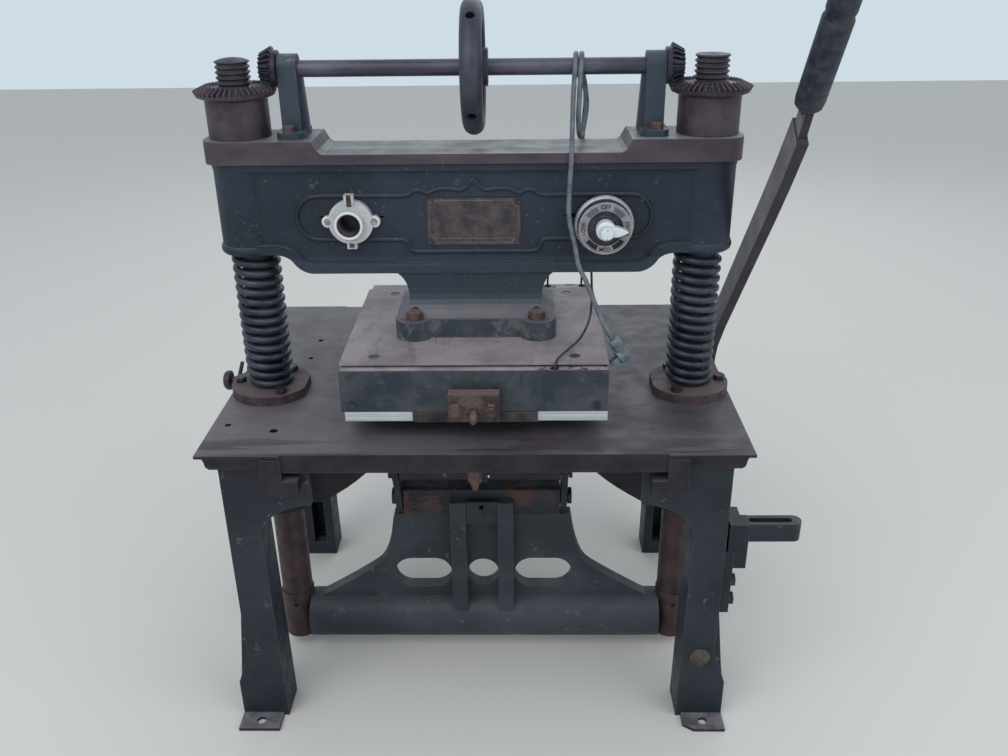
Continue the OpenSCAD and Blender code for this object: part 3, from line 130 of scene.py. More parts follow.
class Shader:
    """A material that is put together from a few kinds of node."""

    def __init__(self, name, roughness=0.6, metallic=0.0, specular=0.5, coat=0.0):
        self.mat = bpy.data.materials.new(name)
        self.mat.use_nodes = True
        self.tree = self.mat.node_tree
        self.bsdf = self.tree.nodes["Principled BSDF"]
        self.bsdf.inputs["Roughness"].default_value = roughness
        self.bsdf.inputs["Metallic"].default_value = metallic
        self.bsdf.inputs["Specular IOR Level"].default_value = specular
        self.bsdf.inputs["Coat Weight"].default_value = coat
        self.coord = self.node("ShaderNodeTexCoord")
        self.place = self.coord.outputs["Object"]

    def node(self, kind, **settings):
        """A new node of this kind with its settings."""
        n = self.tree.nodes.new(kind)
        for key, value in settings.items():
            setattr(n, key, value)
        return n

    def plug(self, value, socket):
        """Links a socket's output into another, or sets a constant on it."""
        if isinstance(value, bpy.types.NodeSocket):
            self.tree.links.new(value, socket)
        else:
            socket.default_value = value

    def stretched(self, x, y, z):
        """The object's own coordinates, stretched along each axis."""
        m = self.node("ShaderNodeMapping")
        self.plug(self.place, m.inputs["Vector"])
        m.inputs["Scale"].default_value = (x, y, z)
        return m.outputs["Vector"]

    def noise(self, scale, detail=4, rough=0.6, where=None, warp=0.0):
        n = self.node("ShaderNodeTexNoise")
        self.plug(self.place if where is None else where, n.inputs["Vector"])
        n.inputs["Scale"].default_value = scale
        n.inputs["Detail"].default_value = detail
        n.inputs["Roughness"].default_value = rough
        n.inputs["Distortion"].default_value = warp
        return n.outputs["Fac"]

    def cells(self, scale):
        """The distance to the nearest of many scattered points."""
        n = self.node("ShaderNodeTexVoronoi")
        self.plug(self.place, n.inputs["Vector"])
        n.inputs["Scale"].default_value = scale
        return n.outputs["Distance"]

    def step(self, value, start, end, low_out=0.0, high_out=1.0):
        """A soft step from one output to another as the value goes from start to end."""
        n = self.node("ShaderNodeMapRange", interpolation_type="SMOOTHSTEP")
        self.plug(value, n.inputs["Value"])
        n.inputs["From Min"].default_value = start
        n.inputs["From Max"].default_value = end
        n.inputs["To Min"].default_value = low_out
        n.inputs["To Max"].default_value = high_out
        return n.outputs["Result"]

    def patches(self, *noise, **more):
        """Soft patches, 0 to 1, over about half of the surface."""
        return self.step(self.noise(*noise, **more), 0.35, 0.65)

    def sheen(self, scale, shiny, dull, detail=4, rough=0.6, where=None):
        """A roughness that wanders between two values."""
        return self.step(self.noise(scale, detail, rough, where), 0.3, 0.7, shiny, dull)

    def math(self, operation, a, b=0.0):
        n = self.node("ShaderNodeMath", operation=operation)
        self.plug(a, n.inputs[0])
        self.plug(b, n.inputs[1])
        return n.outputs["Value"]

    def times(self, *values):
        out = values[0]
        for v in values[1:]:
            out = self.math("MULTIPLY", out, v)
        return out

    def most(self, *values):
        out = values[0]
        for v in values[1:]:
            out = self.math("MAXIMUM", out, v)
        return out

    def minus(self, a):
        """What is left of 1 without a."""
        return self.math("SUBTRACT", 1.0, a)

    def mix(self, share, a, b):
        """Colour a where the share is 0, and colour b where it is 1."""
        n = self.node("ShaderNodeMix", data_type="RGBA")
        self.plug(share, n.inputs["Factor"])
        self.plug(a, n.inputs["A"])
        self.plug(b, n.inputs["B"])
        return n.outputs["Result"]

    def axis(self, name, source=None):
        n = self.node("ShaderNodeSeparateXYZ")
        self.plug(self.place if source is None else source, n.inputs[0])
        return n.outputs[name]

    def facing_up(self, start=0.5, end=0.95):
        """1 on faces that look up and 0 on upright ones."""
        return self.step(self.axis("Z", self.coord.outputs["Normal"]), start, end)

    def edges(self, radius=2.5 * MM, start=0.02, end=0.25):
        """1 on sharp outer edges and 0 on flat faces."""
        bevel = self.node("ShaderNodeBevel", samples=4)
        bevel.inputs["Radius"].default_value = radius
        geometry = self.node("ShaderNodeNewGeometry")
        dot = self.node("ShaderNodeVectorMath", operation="DOT_PRODUCT")
        self.plug(bevel.outputs["Normal"], dot.inputs[0])
        self.plug(geometry.outputs["Normal"], dot.inputs[1])
        return self.step(self.minus(dot.outputs["Value"]), start, end)

    def rounded(self, radius=0.8 * MM):
        """A normal that rounds sharp edges a little."""
        bevel = self.node("ShaderNodeBevel", samples=4)
        bevel.inputs["Radius"].default_value = radius
        return bevel.outputs["Normal"]

    def bump(self, height, depth=0.3 * MM, strength=1.0, under=None):
        """A normal with raised and sunk places, over another normal or over rounded edges."""
        n = self.node("ShaderNodeBump")
        n.inputs["Strength"].default_value = strength
        n.inputs["Distance"].default_value = depth
        self.plug(height, n.inputs["Height"])
        self.plug(self.rounded() if under is None else under, n.inputs["Normal"])
        return n.outputs["Normal"]

    def finish(self, colour, roughness=None, normal=None, metallic=None):
        self.plug(colour, self.bsdf.inputs["Base Color"])
        if roughness is not None:
            self.plug(roughness, self.bsdf.inputs["Roughness"])
        if normal is not None:
            self.plug(normal, self.bsdf.inputs["Normal"])
        if metallic is not None:
            self.plug(metallic, self.bsdf.inputs["Metallic"])
        return self.mat


# ---- materials -----------------------------------------------------------------------

def painted_casting(name, dark, light, worn, dust=0.25, feet=False):
    """Old enamel over rough cast iron: slow mottling, chips, bare edges, dust on top."""
    s = Shader(name, specular=0.4)
    slow = s.patches(7, 3, 0.55)
    base = s.mix(slow, rgb(*dark), rgb(*light))
    fine = s.noise(240, 5, 0.7)
    base = s.mix(s.step(fine, 0.56, 0.72, 0, 0.55), base, rgb(*light))
    chip_noise = s.noise(55, 7, 0.72, warp=0.4)
    chip = s.step(chip_noise, 0.62, 0.65)
    edge = s.times(s.edges(), s.step(s.noise(60, 4, 0.7), 0.35, 0.6))
    base = s.mix(s.times(s.most(edge, chip), 0.85), base, rgb(*worn))
    settled = s.times(s.facing_up(), s.step(s.noise(18, 5, 0.6), 0.2, 0.8, 0.4, 1.0), dust)
    base = s.mix(settled, base, rgb(112, 116, 120))
    if feet:
        foot = s.times(s.facing_up(), s.step(s.axis("Z"), 16 * MM, 10 * MM))
        worn_foot = s.mix(s.patches(50, 5, 0.65), rgb(84, 80, 84), rgb(118, 114, 118))
        base = s.mix(foot, base, worn_foot)
    rough = s.sheen(30, 0.42, 0.66)
    grain = s.bump(s.noise(420, 3, 0.6), 0.3 * MM, 0.6)
    lumps = s.bump(s.noise(60, 3, 0.5), 1.2 * MM, 0.45, grain)
    skin = s.bump(s.minus(chip), 0.25 * MM, 0.5, lumps)
    return s.finish(base, rough, skin)


def crosshead_paint():
    """The crosshead: dark enamel, a maroon-brown band round its top, a worn dusty foot."""
    s = Shader("crosshead_paint", specular=0.4)
    z = s.axis("Z")
    slow = s.patches(7, 3, 0.55)
    body = s.mix(slow, rgb(22, 31, 44), rgb(35, 46, 61))
    body = s.mix(s.step(s.noise(240, 5, 0.7), 0.56, 0.72, 0, 0.6), body, rgb(52, 63, 74))
    specks = s.step(s.cells(130), 0.13, 0.08)
    specks = s.times(specks, s.step(s.noise(13, 3, 0.6), 0.5, 0.6), 0.8)
    body = s.mix(specks, body, rgb(104, 112, 118))
    chips = s.times(s.step(s.noise(70, 7, 0.75, warp=0.4), 0.62, 0.65), 0.7)
    body = s.mix(chips, body, rgb(78, 84, 92))
    edge = s.times(s.edges(), s.step(s.noise(60, 4, 0.7), 0.38, 0.62), 0.55)
    body = s.mix(edge, body, rgb(84, 82, 84))
    # painted highlight: below the panel the body turns a lighter blue, standing for the highlight along the
    # rounded lower rim
    lower = s.step(z, PANEL_Z - 42 * MM, PANEL_Z - 48 * MM)
    body = s.mix(s.times(lower, 0.4), body, rgb(56, 66, 78))
    # the band round the top: maroon-brown, and on its upper face grey and streaky
    slow_band = s.patches(26, 5, 0.6, where=s.stretched(0.35, 1, 1))
    band = s.mix(slow_band, rgb(58, 49, 57), rgb(78, 67, 74))
    band = s.mix(s.times(s.edges(2 * MM), 0.5), band, rgb(104, 100, 104))
    streaks = s.noise(18, 6, 0.65, where=s.stretched(0.12, 1.6, 1))
    top = s.mix(s.step(streaks, 0.38, 0.64), rgb(96, 98, 101), rgb(128, 133, 134))
    brown = s.step(s.noise(5, 4, 0.6), 0.52, 0.66, 0, 0.45)
    top = s.mix(brown, top, rgb(116, 102, 98))
    is_top = s.times(s.facing_up(0.55, 0.8), s.step(z, BAND_UNDER + 8 * MM, BAND_UNDER + 10 * MM))
    band = s.mix(is_top, band, top)
    on_band = s.step(z, BAND_UNDER - 0.3 * MM, BAND_UNDER + 0.3 * MM)
    colour = s.mix(on_band, body, band)
    # the foot and the neck over it: paler, worn, crusted and dusty, with painted light on the neck's slope
    # that looks up
    low_part = s.step(z, FOOT_Z + 75 * MM, FOOT_Z + 20 * MM)
    foot = s.mix(s.patches(30, 5, 0.6), rgb(52, 60, 71), rgb(84, 86, 93))
    colour = s.mix(s.times(low_part, 0.7), colour, foot)
    worn_low = s.times(s.edges(3 * MM), s.step(s.noise(45, 5, 0.7), 0.4, 0.6), low_part)
    colour = s.mix(worn_low, colour, rgb(120, 112, 106))
    crust_spots = s.step(s.noise(38, 7, 0.75, warp=0.5), 0.53, 0.58)
    crust = s.times(crust_spots, low_part, s.minus(s.facing_up(0.1, 0.5)), 0.75)
    colour = s.mix(crust, colour, rgb(112, 108, 106))
    # painted light: the neck's faces that look up are made paler, as lit from above
    neck_part = s.step(z, FOOT_Z + 110 * MM, FOOT_Z + 50 * MM)
    lit_neck_slope = s.times(s.facing_up(0.1, 0.6), neck_part, s.step(s.noise(16, 4, 0.6), 0.25, 0.6, 0.5, 0.9))
    colour = s.mix(lit_neck_slope, colour, rgb(106, 101, 106))
    settled = s.times(s.facing_up(), s.minus(on_band), 0.5)
    colour = s.mix(settled, colour, rgb(96, 96, 100))
    rough = s.sheen(30, 0.42, 0.62)
    grain = s.bump(s.noise(420, 3, 0.6), 0.25 * MM, 0.5)
    lumps = s.bump(s.noise(60, 3, 0.5), 1.3 * MM, 0.45, grain)
    return s.finish(colour, rough, lumps)


def table_iron():
    """The table: brown worn iron, darker paint left in stripes and at the rim."""
    s = Shader("table_iron", specular=0.4)
    streaks = s.noise(9, 6, 0.62, where=s.stretched(0.5, 1.3, 1), warp=0.3)
    top = s.mix(s.step(streaks, 0.34, 0.66), rgb(62, 58, 65), rgb(92, 87, 92))
    left = s.step(s.axis("X"), -120 * MM, -250 * MM, 0, 0.5)
    top = s.mix(left, top, rgb(116, 110, 114))
    front = s.step(s.axis("Y"), HEATER_FRONT + 20 * MM, HEATER_FRONT - 20 * MM)
    stripe_noise = s.noise(30, 3, 0.5, where=s.stretched(0.12, 1.6, 1))
    stripe = s.times(front, s.step(stripe_noise, 0.52, 0.56), 0.6)
    top = s.mix(stripe, top, rgb(54, 42, 48))
    top = s.mix(s.step(s.noise(160, 5, 0.7), 0.55, 0.72, 0, 0.5), top, rgb(50, 42, 47))
    top = s.mix(s.step(s.noise(2.6, 3, 0.5), 0.5, 0.64, 0, 0.5), top, rgb(104, 98, 100))
    side = s.mix(s.patches(24, 5, 0.6), rgb(16, 15, 22), rgb(38, 32, 40))
    side = s.mix(s.times(s.edges(2 * MM), 0.6), side, rgb(96, 82, 86))
    colour = s.mix(s.facing_up(0.6, 0.9), side, top)
    rough = s.sheen(30, 0.45, 0.65)
    grain = s.bump(s.noise(380, 4, 0.65), 0.2 * MM, 0.5)
    return s.finish(colour, rough, grain)


def two_part(name, split, lower, upper):
    """Steel with one colour pair under a height and another above it."""
    s = Shader(name, specular=0.4)
    slow = s.patches(34, 5, 0.62)
    under = s.mix(slow, rgb(*lower[0]), rgb(*lower[1]))
    over = s.mix(slow, rgb(*upper[0]), rgb(*upper[1]))
    colour = s.mix(s.step(s.axis("Z"), split - 4 * MM, split + 4 * MM), under, over)
    colour = s.mix(s.step(s.noise(220, 5, 0.7), 0.54, 0.7, 0, 0.5), colour, rgb(32, 27, 32))
    colour = s.mix(s.times(s.edges(1.2 * MM), 0.4), colour, rgb(112, 104, 108))
    rough = s.sheen(60, 0.42, 0.62)
    return s.finish(colour, rough, s.bump(s.noise(400, 4, 0.65), 0.3 * MM, 0.5))


def yoke_head_paint():
    """Dark paint on the bar over the yoke, rubbed through to red rust at both ends."""
    s = Shader("yoke_head_paint", specular=0.4)
    slow = s.patches(24, 5, 0.6)
    colour = s.mix(slow, rgb(28, 32, 41), rgb(46, 51, 60))
    ends = s.step(s.math("ABSOLUTE", s.axis("X")), 22 * MM, 40 * MM)
    patch = s.times(s.step(s.noise(22, 6, 0.7, where=s.stretched(0.6, 1, 1.4)), 0.5, 0.57), ends, 0.8)
    colour = s.mix(patch, colour, rgb(84, 54, 48))
    rough = s.sheen(40, 0.45, 0.7)
    return s.finish(colour, rough, s.bump(s.noise(300, 4, 0.65), 0.3 * MM, 0.5))


def lever_steel():
    """The hand lever: its sides painted pale as lit faces, the edge that faces forward painted dark as
    shade.
    """
    s = Shader("lever_steel", specular=0.4)
    slow = s.patches(30, 5, 0.62)
    dark = s.mix(slow, rgb(40, 37, 44), rgb(58, 53, 62))
    pale = s.mix(slow, rgb(98, 93, 96), rgb(124, 119, 122))
    # painted light and shade: faces that look sideways take the pale copy as lit faces, the others the dark
    # copy as shade
    side = s.step(s.math("ABSOLUTE", s.axis("X", s.coord.outputs["Normal"])), 0.7, 0.9)
    colour = s.mix(side, dark, pale)
    colour = s.mix(s.step(s.noise(160, 5, 0.7), 0.56, 0.7, 0, 0.6), colour, rgb(38, 34, 40))
    rough = s.sheen(60, 0.45, 0.66)
    return s.finish(colour, rough, s.bump(s.noise(300, 4, 0.65), 0.3 * MM, 0.5))


def rusty(name, dark, light, grain_scale=180, metallic=0.0, depth=0.5):
    """Steel that has rusted over: two browns, dark pits, a rough grain."""
    s = Shader(name, specular=0.3)
    slow = s.patches(40, 5, 0.65)
    colour = s.mix(slow, rgb(*dark), rgb(*light))
    pits = s.step(s.noise(grain_scale, 5, 0.7), 0.52, 0.66)
    colour = s.mix(s.times(pits, 0.6), colour, shade(dark, 0.5))
    spots = s.step(s.noise(grain_scale * 1.4, 4, 0.6), 0.6, 0.68, 0, 0.55)
    colour = s.mix(spots, colour, rgb(min(255, light[0] * 1.35), light[1], light[2] * 0.8))
    # painted light: faces that look up get a lighter copy of the rust colour, as lit tops
    colour = s.mix(s.facing_up(0.6, 0.9), colour, shade(light, 1.14))
    colour = s.mix(s.times(s.edges(0.8 * MM), 0.5), colour, shade(light, 1.35))
    rough = s.sheen(70, 0.55, 0.8)
    grain = s.bump(s.noise(grain_scale * 2, 4, 0.65), depth * MM, 0.5, s.rounded(0.3 * MM))
    return s.finish(colour, rough, grain, metallic)


def dull_steel(name, dark, light, roughness=(0.32, 0.5), metallic=0.55, streak=(1, 1, 1)):
    """Handled steel: brown-black skin, brighter where it rubs."""
    s = Shader(name)
    where = s.stretched(*streak)
    slow = s.patches(30, 5, 0.6, where=where)
    colour = s.mix(slow, rgb(*dark), rgb(*light))
    pits = s.step(s.noise(300, 4, 0.7, where=where), 0.55, 0.7, 0, 0.5)
    colour = s.mix(pits, colour, shade(dark, 0.6))
    colour = s.mix(s.times(s.edges(1.2 * MM), 0.5), colour, shade(light, 1.35))
    rough = s.sheen(60, *roughness, where=where)
    grain = s.bump(s.noise(500, 3, 0.6, where=where), 0.1 * MM, 0.4)
    return s.finish(colour, rough, grain, metallic)


def platen_steel():
    """The platen's top: pinkish grey-brown oxide with darker scuffs and pale edges."""
    s = Shader("platen_steel", specular=0.4)
    slow = s.patches(11, 5, 0.6)
    colour = s.mix(slow, rgb(126, 118, 121), rgb(152, 143, 146))
    scuffs = s.noise(26, 7, 0.7, where=s.stretched(1.4, 0.5, 1), warp=0.5)
    colour = s.mix(s.step(scuffs, 0.56, 0.66, 0, 0.5), colour, rgb(96, 92, 96))
    colour = s.mix(s.step(s.noise(150, 5, 0.7), 0.6, 0.68, 0, 0.6), colour, rgb(92, 76, 76))
    colour = s.mix(s.times(s.edges(1.5 * MM), 0.4), colour, rgb(158, 146, 146))
    rough = s.sheen(40, 0.5, 0.7)
    grain = s.bump(s.noise(300, 4, 0.65), 0.15 * MM, 0.4)
    return s.finish(colour, rough, grain)


def heater_iron():
    """The heater block: pale pinkish top strip, chipped to dark iron at the right."""
    s = Shader("heater_iron", specular=0.4)
    slow = s.patches(20, 5, 0.6)
    colour = s.mix(slow, rgb(134, 126, 130), rgb(164, 156, 160))
    right = s.step(s.axis("X"), 55 * MM, 95 * MM)
    chips = s.times(s.step(s.noise(75, 6, 0.7), 0.5, 0.56), right)
    colour = s.mix(s.times(chips, 0.9), colour, rgb(62, 50, 52))
    side = s.mix(slow, rgb(52, 48, 54), rgb(80, 74, 78))
    colour = s.mix(s.facing_up(0.6, 0.9), side, colour)
    rough = s.sheen(40, 0.5, 0.7)
    return s.finish(colour, rough, s.bump(s.noise(300, 4, 0.65), 0.2 * MM, 0.5))


def cover_paint():
    """The heater's sheet front: dark blotched paint."""
    s = Shader("cover_paint", specular=0.4)
    slow = s.step(s.noise(14, 6, 0.65, warp=0.6), 0.38, 0.62)
    colour = s.mix(slow, rgb(38, 46, 57), rgb(66, 70, 77))
    colour = s.mix(s.step(s.noise(60, 6, 0.7), 0.58, 0.66, 0, 0.55), colour, rgb(86, 78, 78))
    colour = s.mix(s.times(s.edges(2 * MM), 0.6), colour, rgb(96, 80, 76))
    rough = s.sheen(30, 0.42, 0.62)
    return s.finish(colour, rough, s.bump(s.noise(260, 4, 0.65), 0.2 * MM, 0.5))


def bare_aluminium():
    """The die plate: bright, with fine lines from its machining."""
    s = Shader("bare_aluminium", metallic=0.85)
    lines = s.noise(40, 5, 0.6, where=s.stretched(0.2, 1, 6))
    colour = s.mix(s.step(lines, 0.35, 0.65), rgb(188, 196, 202), rgb(224, 230, 234))
    rough = s.step(lines, 0.3, 0.7, 0.25, 0.42)
    return s.finish(colour, rough, s.bump(lines, 0.05 * MM, 0.4))


def porcelain(name, pale, stain):
    """Glazed white china with brown stains and a few pits."""
    s = Shader(name, roughness=0.22, coat=0.4)
    slow = s.step(s.noise(60, 5, 0.65), 0.5, 0.72)
    colour = s.mix(s.times(slow, 0.35), rgb(*pale), rgb(*stain))
    colour = s.mix(s.step(s.noise(500, 3, 0.6), 0.66, 0.74, 0, 0.5), colour, rgb(96, 90, 80))
    rough = s.sheen(90, 0.18, 0.34, 3, 0.5)
    return s.finish(colour, rough, s.bump(s.noise(120, 2, 0.5), 0.1 * MM, 0.2))


def panel_screw_metal():
    """Dark screws in the nameplate, zinc ones in the lampholder."""
    s = Shader("panel_screws", metallic=0.4)
    apart = s.step(s.math("ABSOLUTE", s.axis("X")), 60 * MM, 70 * MM)
    slow = s.patches(200, 4, 0.6)
    dark = s.mix(slow, rgb(48, 38, 44), rgb(84, 74, 78))
    zinc = s.mix(slow, rgb(130, 128, 124), rgb(172, 170, 164))
    grain = s.bump(s.noise(500, 3, 0.6), 0.1 * MM, 0.4, s.rounded(0.3 * MM))
    return s.finish(s.mix(apart, dark, zinc), 0.42, grain)


def bronze():
    """Tarnished bronze, brighter along its edges."""
    s = Shader("bronze", metallic=0.45)
    slow = s.patches(60, 6, 0.65)
    colour = s.mix(slow, rgb(58, 52, 58), rgb(88, 80, 82))
    colour = s.mix(s.times(s.edges(1.0 * MM, 0.01, 0.2), 0.8), colour, rgb(126, 117, 112))
    rough = s.sheen(80, 0.42, 0.62)
    return s.finish(colour, rough, s.bump(s.noise(500, 4, 0.65), 0.1 * MM, 0.4))


def rubber(name, dark, light, roughness=0.55):
    """Rubber, fibre or moulded plastic: a soft dull surface in two close colours."""
    s = Shader(name, roughness=roughness, specular=0.35)
    colour = s.mix(s.patches(90, 5, 0.6), rgb(*dark), rgb(*light))
    rough = s.sheen(60, roughness - 0.08, roughness + 0.1, 3, 0.5)
    return s.finish(colour, rough, s.bump(s.noise(700, 3, 0.6), 0.1 * MM, 0.4))


MATERIALS = {
    "crosshead": crosshead_paint(),
    "table": table_iron(),
    "enamel": painted_casting("dark_enamel", (22, 27, 37), (36, 43, 54), (92, 88, 88), feet=True),
    "yoke": painted_casting("yoke_enamel", (40, 45, 53), (60, 65, 74), (98, 92, 92), dust=0.35),
    "bracket": painted_casting("bracket_enamel", (34, 43, 55), (52, 62, 75), (96, 92, 96), dust=0.3),
    "hub": dull_steel("hub_brown", (58, 46, 55), (80, 68, 78), (0.4, 0.58), 0.3),
    "gear": dull_steel("gear_steel", (40, 38, 49), (62, 60, 72)),
    "rod": two_part("rod_steel", TABLE_TOP, ((50, 36, 40), (72, 54, 54)), ((42, 40, 50), (64, 60, 70))),
    "rust": rusty("rust", (70, 54, 54), (100, 80, 77)),
    "clamp": rusty("clamp_rust", (58, 48, 49), (94, 79, 76), 260),
    "clamp_bar": rusty("clamp_bar_rust", (46, 38, 42), (76, 66, 68), 240),
    "dark_steel": dull_steel("dark_steel", (44, 40, 48), (70, 64, 72), streak=(0.3, 1, 1)),
    "wheel": dull_steel("wheel_steel", (48, 48, 60), (70, 70, 84), (0.4, 0.55), 0.35),
    "spring": dull_steel("spring_steel", (40, 44, 55), (68, 72, 84), (0.34, 0.5), 0.4),
    "lever": lever_steel(),
    "yoke_head": yoke_head_paint(),
    "bush": rusty("bush_brown", (58, 48, 52), (84, 72, 74)),
    "platen": platen_steel(),
    "heater": heater_iron(),
    "shaft": dull_steel("shaft_steel", (60, 59, 72), (92, 91, 106), (0.36, 0.52), 0.4, (0.3, 1, 1)),
    "cover": cover_paint(),
    "aluminium": bare_aluminium(),
    "porcelain": porcelain("porcelain", (190, 192, 192), (134, 130, 124)),
    "screws": panel_screw_metal(),
    "border": rusty("border_bronze", (92, 86, 88), (124, 118, 118), 200, 0.2, 0.1),
    "thread": dull_steel("thread_metal", (84, 78, 78), (128, 120, 116), (0.3, 0.45), 0.5),
    "bright": dull_steel("bright_ring", (146, 148, 154), (184, 187, 192), (0.25, 0.4), 0.2),
    "bronze": bronze(),
    "brass": rusty("brass_tag", (66, 62, 58), (98, 91, 82), 200, 0.4, 0.1),
    "grip": rubber("grip_black", (32, 36, 46), (58, 62, 74)),
    "switch": rubber("switch_black", (36, 38, 46), (60, 58, 64), 0.4),
    "dial": rubber("dial_plate", (118, 113, 117), (150, 144, 148), 0.42),
    "mark_black": rubber("mark_black", (14, 14, 18), (30, 30, 36), 0.45),
    "mark_grey": rubber("mark_grey", (70, 75, 86), (92, 96, 106), 0.45),
    "knob": porcelain("knob_porcelain", (214, 222, 228), (176, 180, 182)),
    "clip": rusty("clip_brown", (74, 60, 54), (112, 92, 82)),
    "sheet": rubber("sheet_dark", (26, 26, 31), (44, 43, 50), 0.6),
    "lead": rubber("lead_black", (40, 40, 47), (70, 70, 76), 0.5),
    "cord": rubber("cord_grey", (86, 91, 100), (112, 118, 126), 0.5),
    "plug": rubber("plug_grey", (84, 96, 104), (116, 128, 138), 0.45),
}

# the CAD's nodes by material; a node that a new piece stands for is left out
FINISH = {
    "crosshead": ["crosshead"],
    "table": ["table"],
    "enamel": ["leg_front_left", "leg_front_right", "leg_rear_left", "leg_rear_right", "lever_stop",
               "upper_link", "lower_links", "pull_link"],
    "yoke_head": ["yoke_head"],
    "yoke": ["yoke"],
    "bracket": ["bracket_left", "bracket_right"],
    "hub": ["nut_left", "nut_right"],
    "gear": ["pinion_left", "pinion_right"],
    "rod": ["rod_left", "rod_right", "rod_sleeves"],
    "sheet": ["heat_sheet"],
    "clamp": ["clamp_block", "clamp_stud", "clamp_bolts"],
    "clamp_bar": ["clamp_bar"],
    "rust": ["foot_bolts", "bracket_bolts", "apron_screw"],
    "dark_steel": ["upper_pin", "knee_pin", "yoke_pins", "rock_shaft", "leg_bolts",
                   "lever_stop_bolts", "side_knob", "platen_screws", "bush_bolts"],
    "wheel": ["handwheel"],
    "lever": ["lever"],
    "bush": ["bush_left", "bush_right"],
    "platen": ["platen_plate"],
    "heater": ["heater_block"],
    "shaft": ["adjusting_shaft"],
    "cover": ["front_cover"],
    "aluminium": ["die_plate"],
    "porcelain": ["lampholder"],
    "bronze": ["nameplate", "lampholder_shell"],
    "screws": ["panel_screws"],
    "brass": ["leg_tag"],
    "grip": ["lever_grip"],
    "switch": ["switch_body"],
    "plug": ["plug"],
}


def paint_nodes():
    """Puts each material on the CAD's nodes that stay in view."""
    for key, names in FINISH.items():
        for name in names:
            slots = nodes[name].data.materials
            slots.clear()
            slots.append(MATERIALS[key])


# ---- cords ---------------------------------------------------------------------------
# routes are X, Y and Z in millimetres, from where the cord leaves the crosshead

MAINS_ROUTE = [
    (136, -38, 690), (136, -26, 696), (136, -18.5, 712), (136, -17.5, 735), (136, -18, 758),
    (137, -24, 780), (138, -33, 803), (136, -43, 824), (132.5, -52, 838), (131.2, -54.2, 851),
    (130.5, -58, 858.4), (129.8, -65.5, 862.2), (129.1, -73, 861.5), (128.5, -79.4, 856.5),
    (128, -82.2, 848), (127.4, -83, 836), (127, -83, 816), (126.4, -82, 796), (127, -78, 781),
    (128.5, -70, 770), (131, -59, 765), (134, -48, 769), (137, -40, 781), (139, -38, 800),
    (136, -42, 820), (128, -49, 836), (124.2, -54.2, 851), (123.6, -58, 858.4),
    (123, -65.5, 862.2), (122.4, -73, 861.5), (121.8, -79.4, 856.5), (121.3, -82.2, 848),
    (120.6, -83.5, 836), (119.6, -86, 816), (119.2, -90, 794), (118.6, -97, 776),
    (118, -106, 765.5), (117.4, -114.5, 757.5), (117, -117.5, 745), (115.8, -117.6, 724),
    (115.2, -117.8, 704), (115.2, -118.2, 684), (117.3, -119.6, 670), (122.3, -122, 650),
    (127, -125.8, 625), (132, -129.6, 613), (136.2, -132.5, 605.7), (144.9, -139.5, 585.5),
    (150.4, -143, 572.5), (156, -146, 559.4), (165.1, -149.6, 542.6), (170, -151, 534.9),
]
LEAD_ROUTES = {
    "lead_front": [
        (145, -62, 612), (148, -64, 600), (149, -70, 580), (148.5, -84, 560), (144, -112, 546),
        (131, -146, 535), (112, -178, 531), (104, -192, 530), (99.5, -200.6, 528),
        (97.6, -204, 521.4), (97, -204.4, 512),
    ],
    "lead_rear_a": [
        (151, -58, 612), (156, -52, 600), (150, -40, 589), (138, -10, 586), (118, 40, 574),
        (102, 78, 552), (97.5, 92, 532), (97.5, 92, 512),
    ],
    "lead_rear_b": [
        (146, -54, 612), (149, -50, 604), (153, -30, 597), (151, 30, 576), (148, 76, 550),
        (147, 92, 532), (147, 92, 512),
    ],
}
CORD_D = 6 * MM
LEAD_D = 3 * MM


def curved(points, steps=3):
    """Points in millimetres as a smooth route in metres that passes through every one."""
    p = [Vector(q) * MM for q in points]
    p = [2 * p[0] - p[1]] + p + [2 * p[-1] - p[-2]]
    out = []
    for i in range(1, len(p) - 2):
        for k in range(steps):
            t = k / steps
            a = 2 * p[i] + (p[i + 1] - p[i - 1]) * t
            b = (2 * p[i - 1] - 5 * p[i] + 4 * p[i + 1] - p[i + 2]) * t * t
            c = (3 * p[i] - p[i - 1] - 3 * p[i + 1] + p[i + 2]) * t ** 3
            out.append((a + b + c) / 2)
    out.append(p[-2])
    return out


def tube_curve(name, points, diameter, cyclic=False):
    """An open or closed round tube along the points, as one curve."""
    data = bpy.data.curves.new(name, "CURVE")
    data.dimensions = "3D"
    data.bevel_depth = diameter / 2
    data.bevel_resolution = 4
    data.use_fill_caps = True
    line = data.splines.new("POLY")
    line.points.add(len(points) - 1)
    for slot, place in zip(line.points, points):
        slot.co = (*place, 1)
    line.use_cyclic_u = cyclic
    return data


def new_piece(name, data, key, body, slot, *replaced, place=None):
    """A piece of the object with its material, the body it rides on and the nodes it stands for."""
    piece = bpy.data.objects.new(name, data)
    scene.collection.objects.link(piece)
    data.materials.append(MATERIALS[key])
    if place:
        piece.matrix_world = place
    if body:
        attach(piece, body)
    if replaced:
        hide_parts(*replaced)
    return piece


def add_cords():
    """The limp mains cord with its plug, and the three thin leads to the heater."""
    route = curved(MAINS_ROUTE)
    data = tube_curve("mains_lead", route, CORD_D)
    piece = new_piece("mains_lead", data, "cord", "head", "cord_grey", "mains_cord")
    for name, points in LEAD_ROUTES.items():
        route = curved(points)
        data = tube_curve(name, route, LEAD_D)
        piece = new_piece(name, data, "lead", "head", "lead_black", "heater_leads")


# ---- mesh helpers --------------------------------------------------------------------

def mesh_from(name, points, faces):
    """A mesh that is shaded smooth except over sharp edges."""
    mesh = bpy.data.meshes.new(name)
    mesh.from_pydata([tuple(p) for p in points], [], faces)
    mesh.update()
    mesh.shade_smooth()
    mesh.set_sharp_from_angle(angle=math.radians(40))
    return mesh


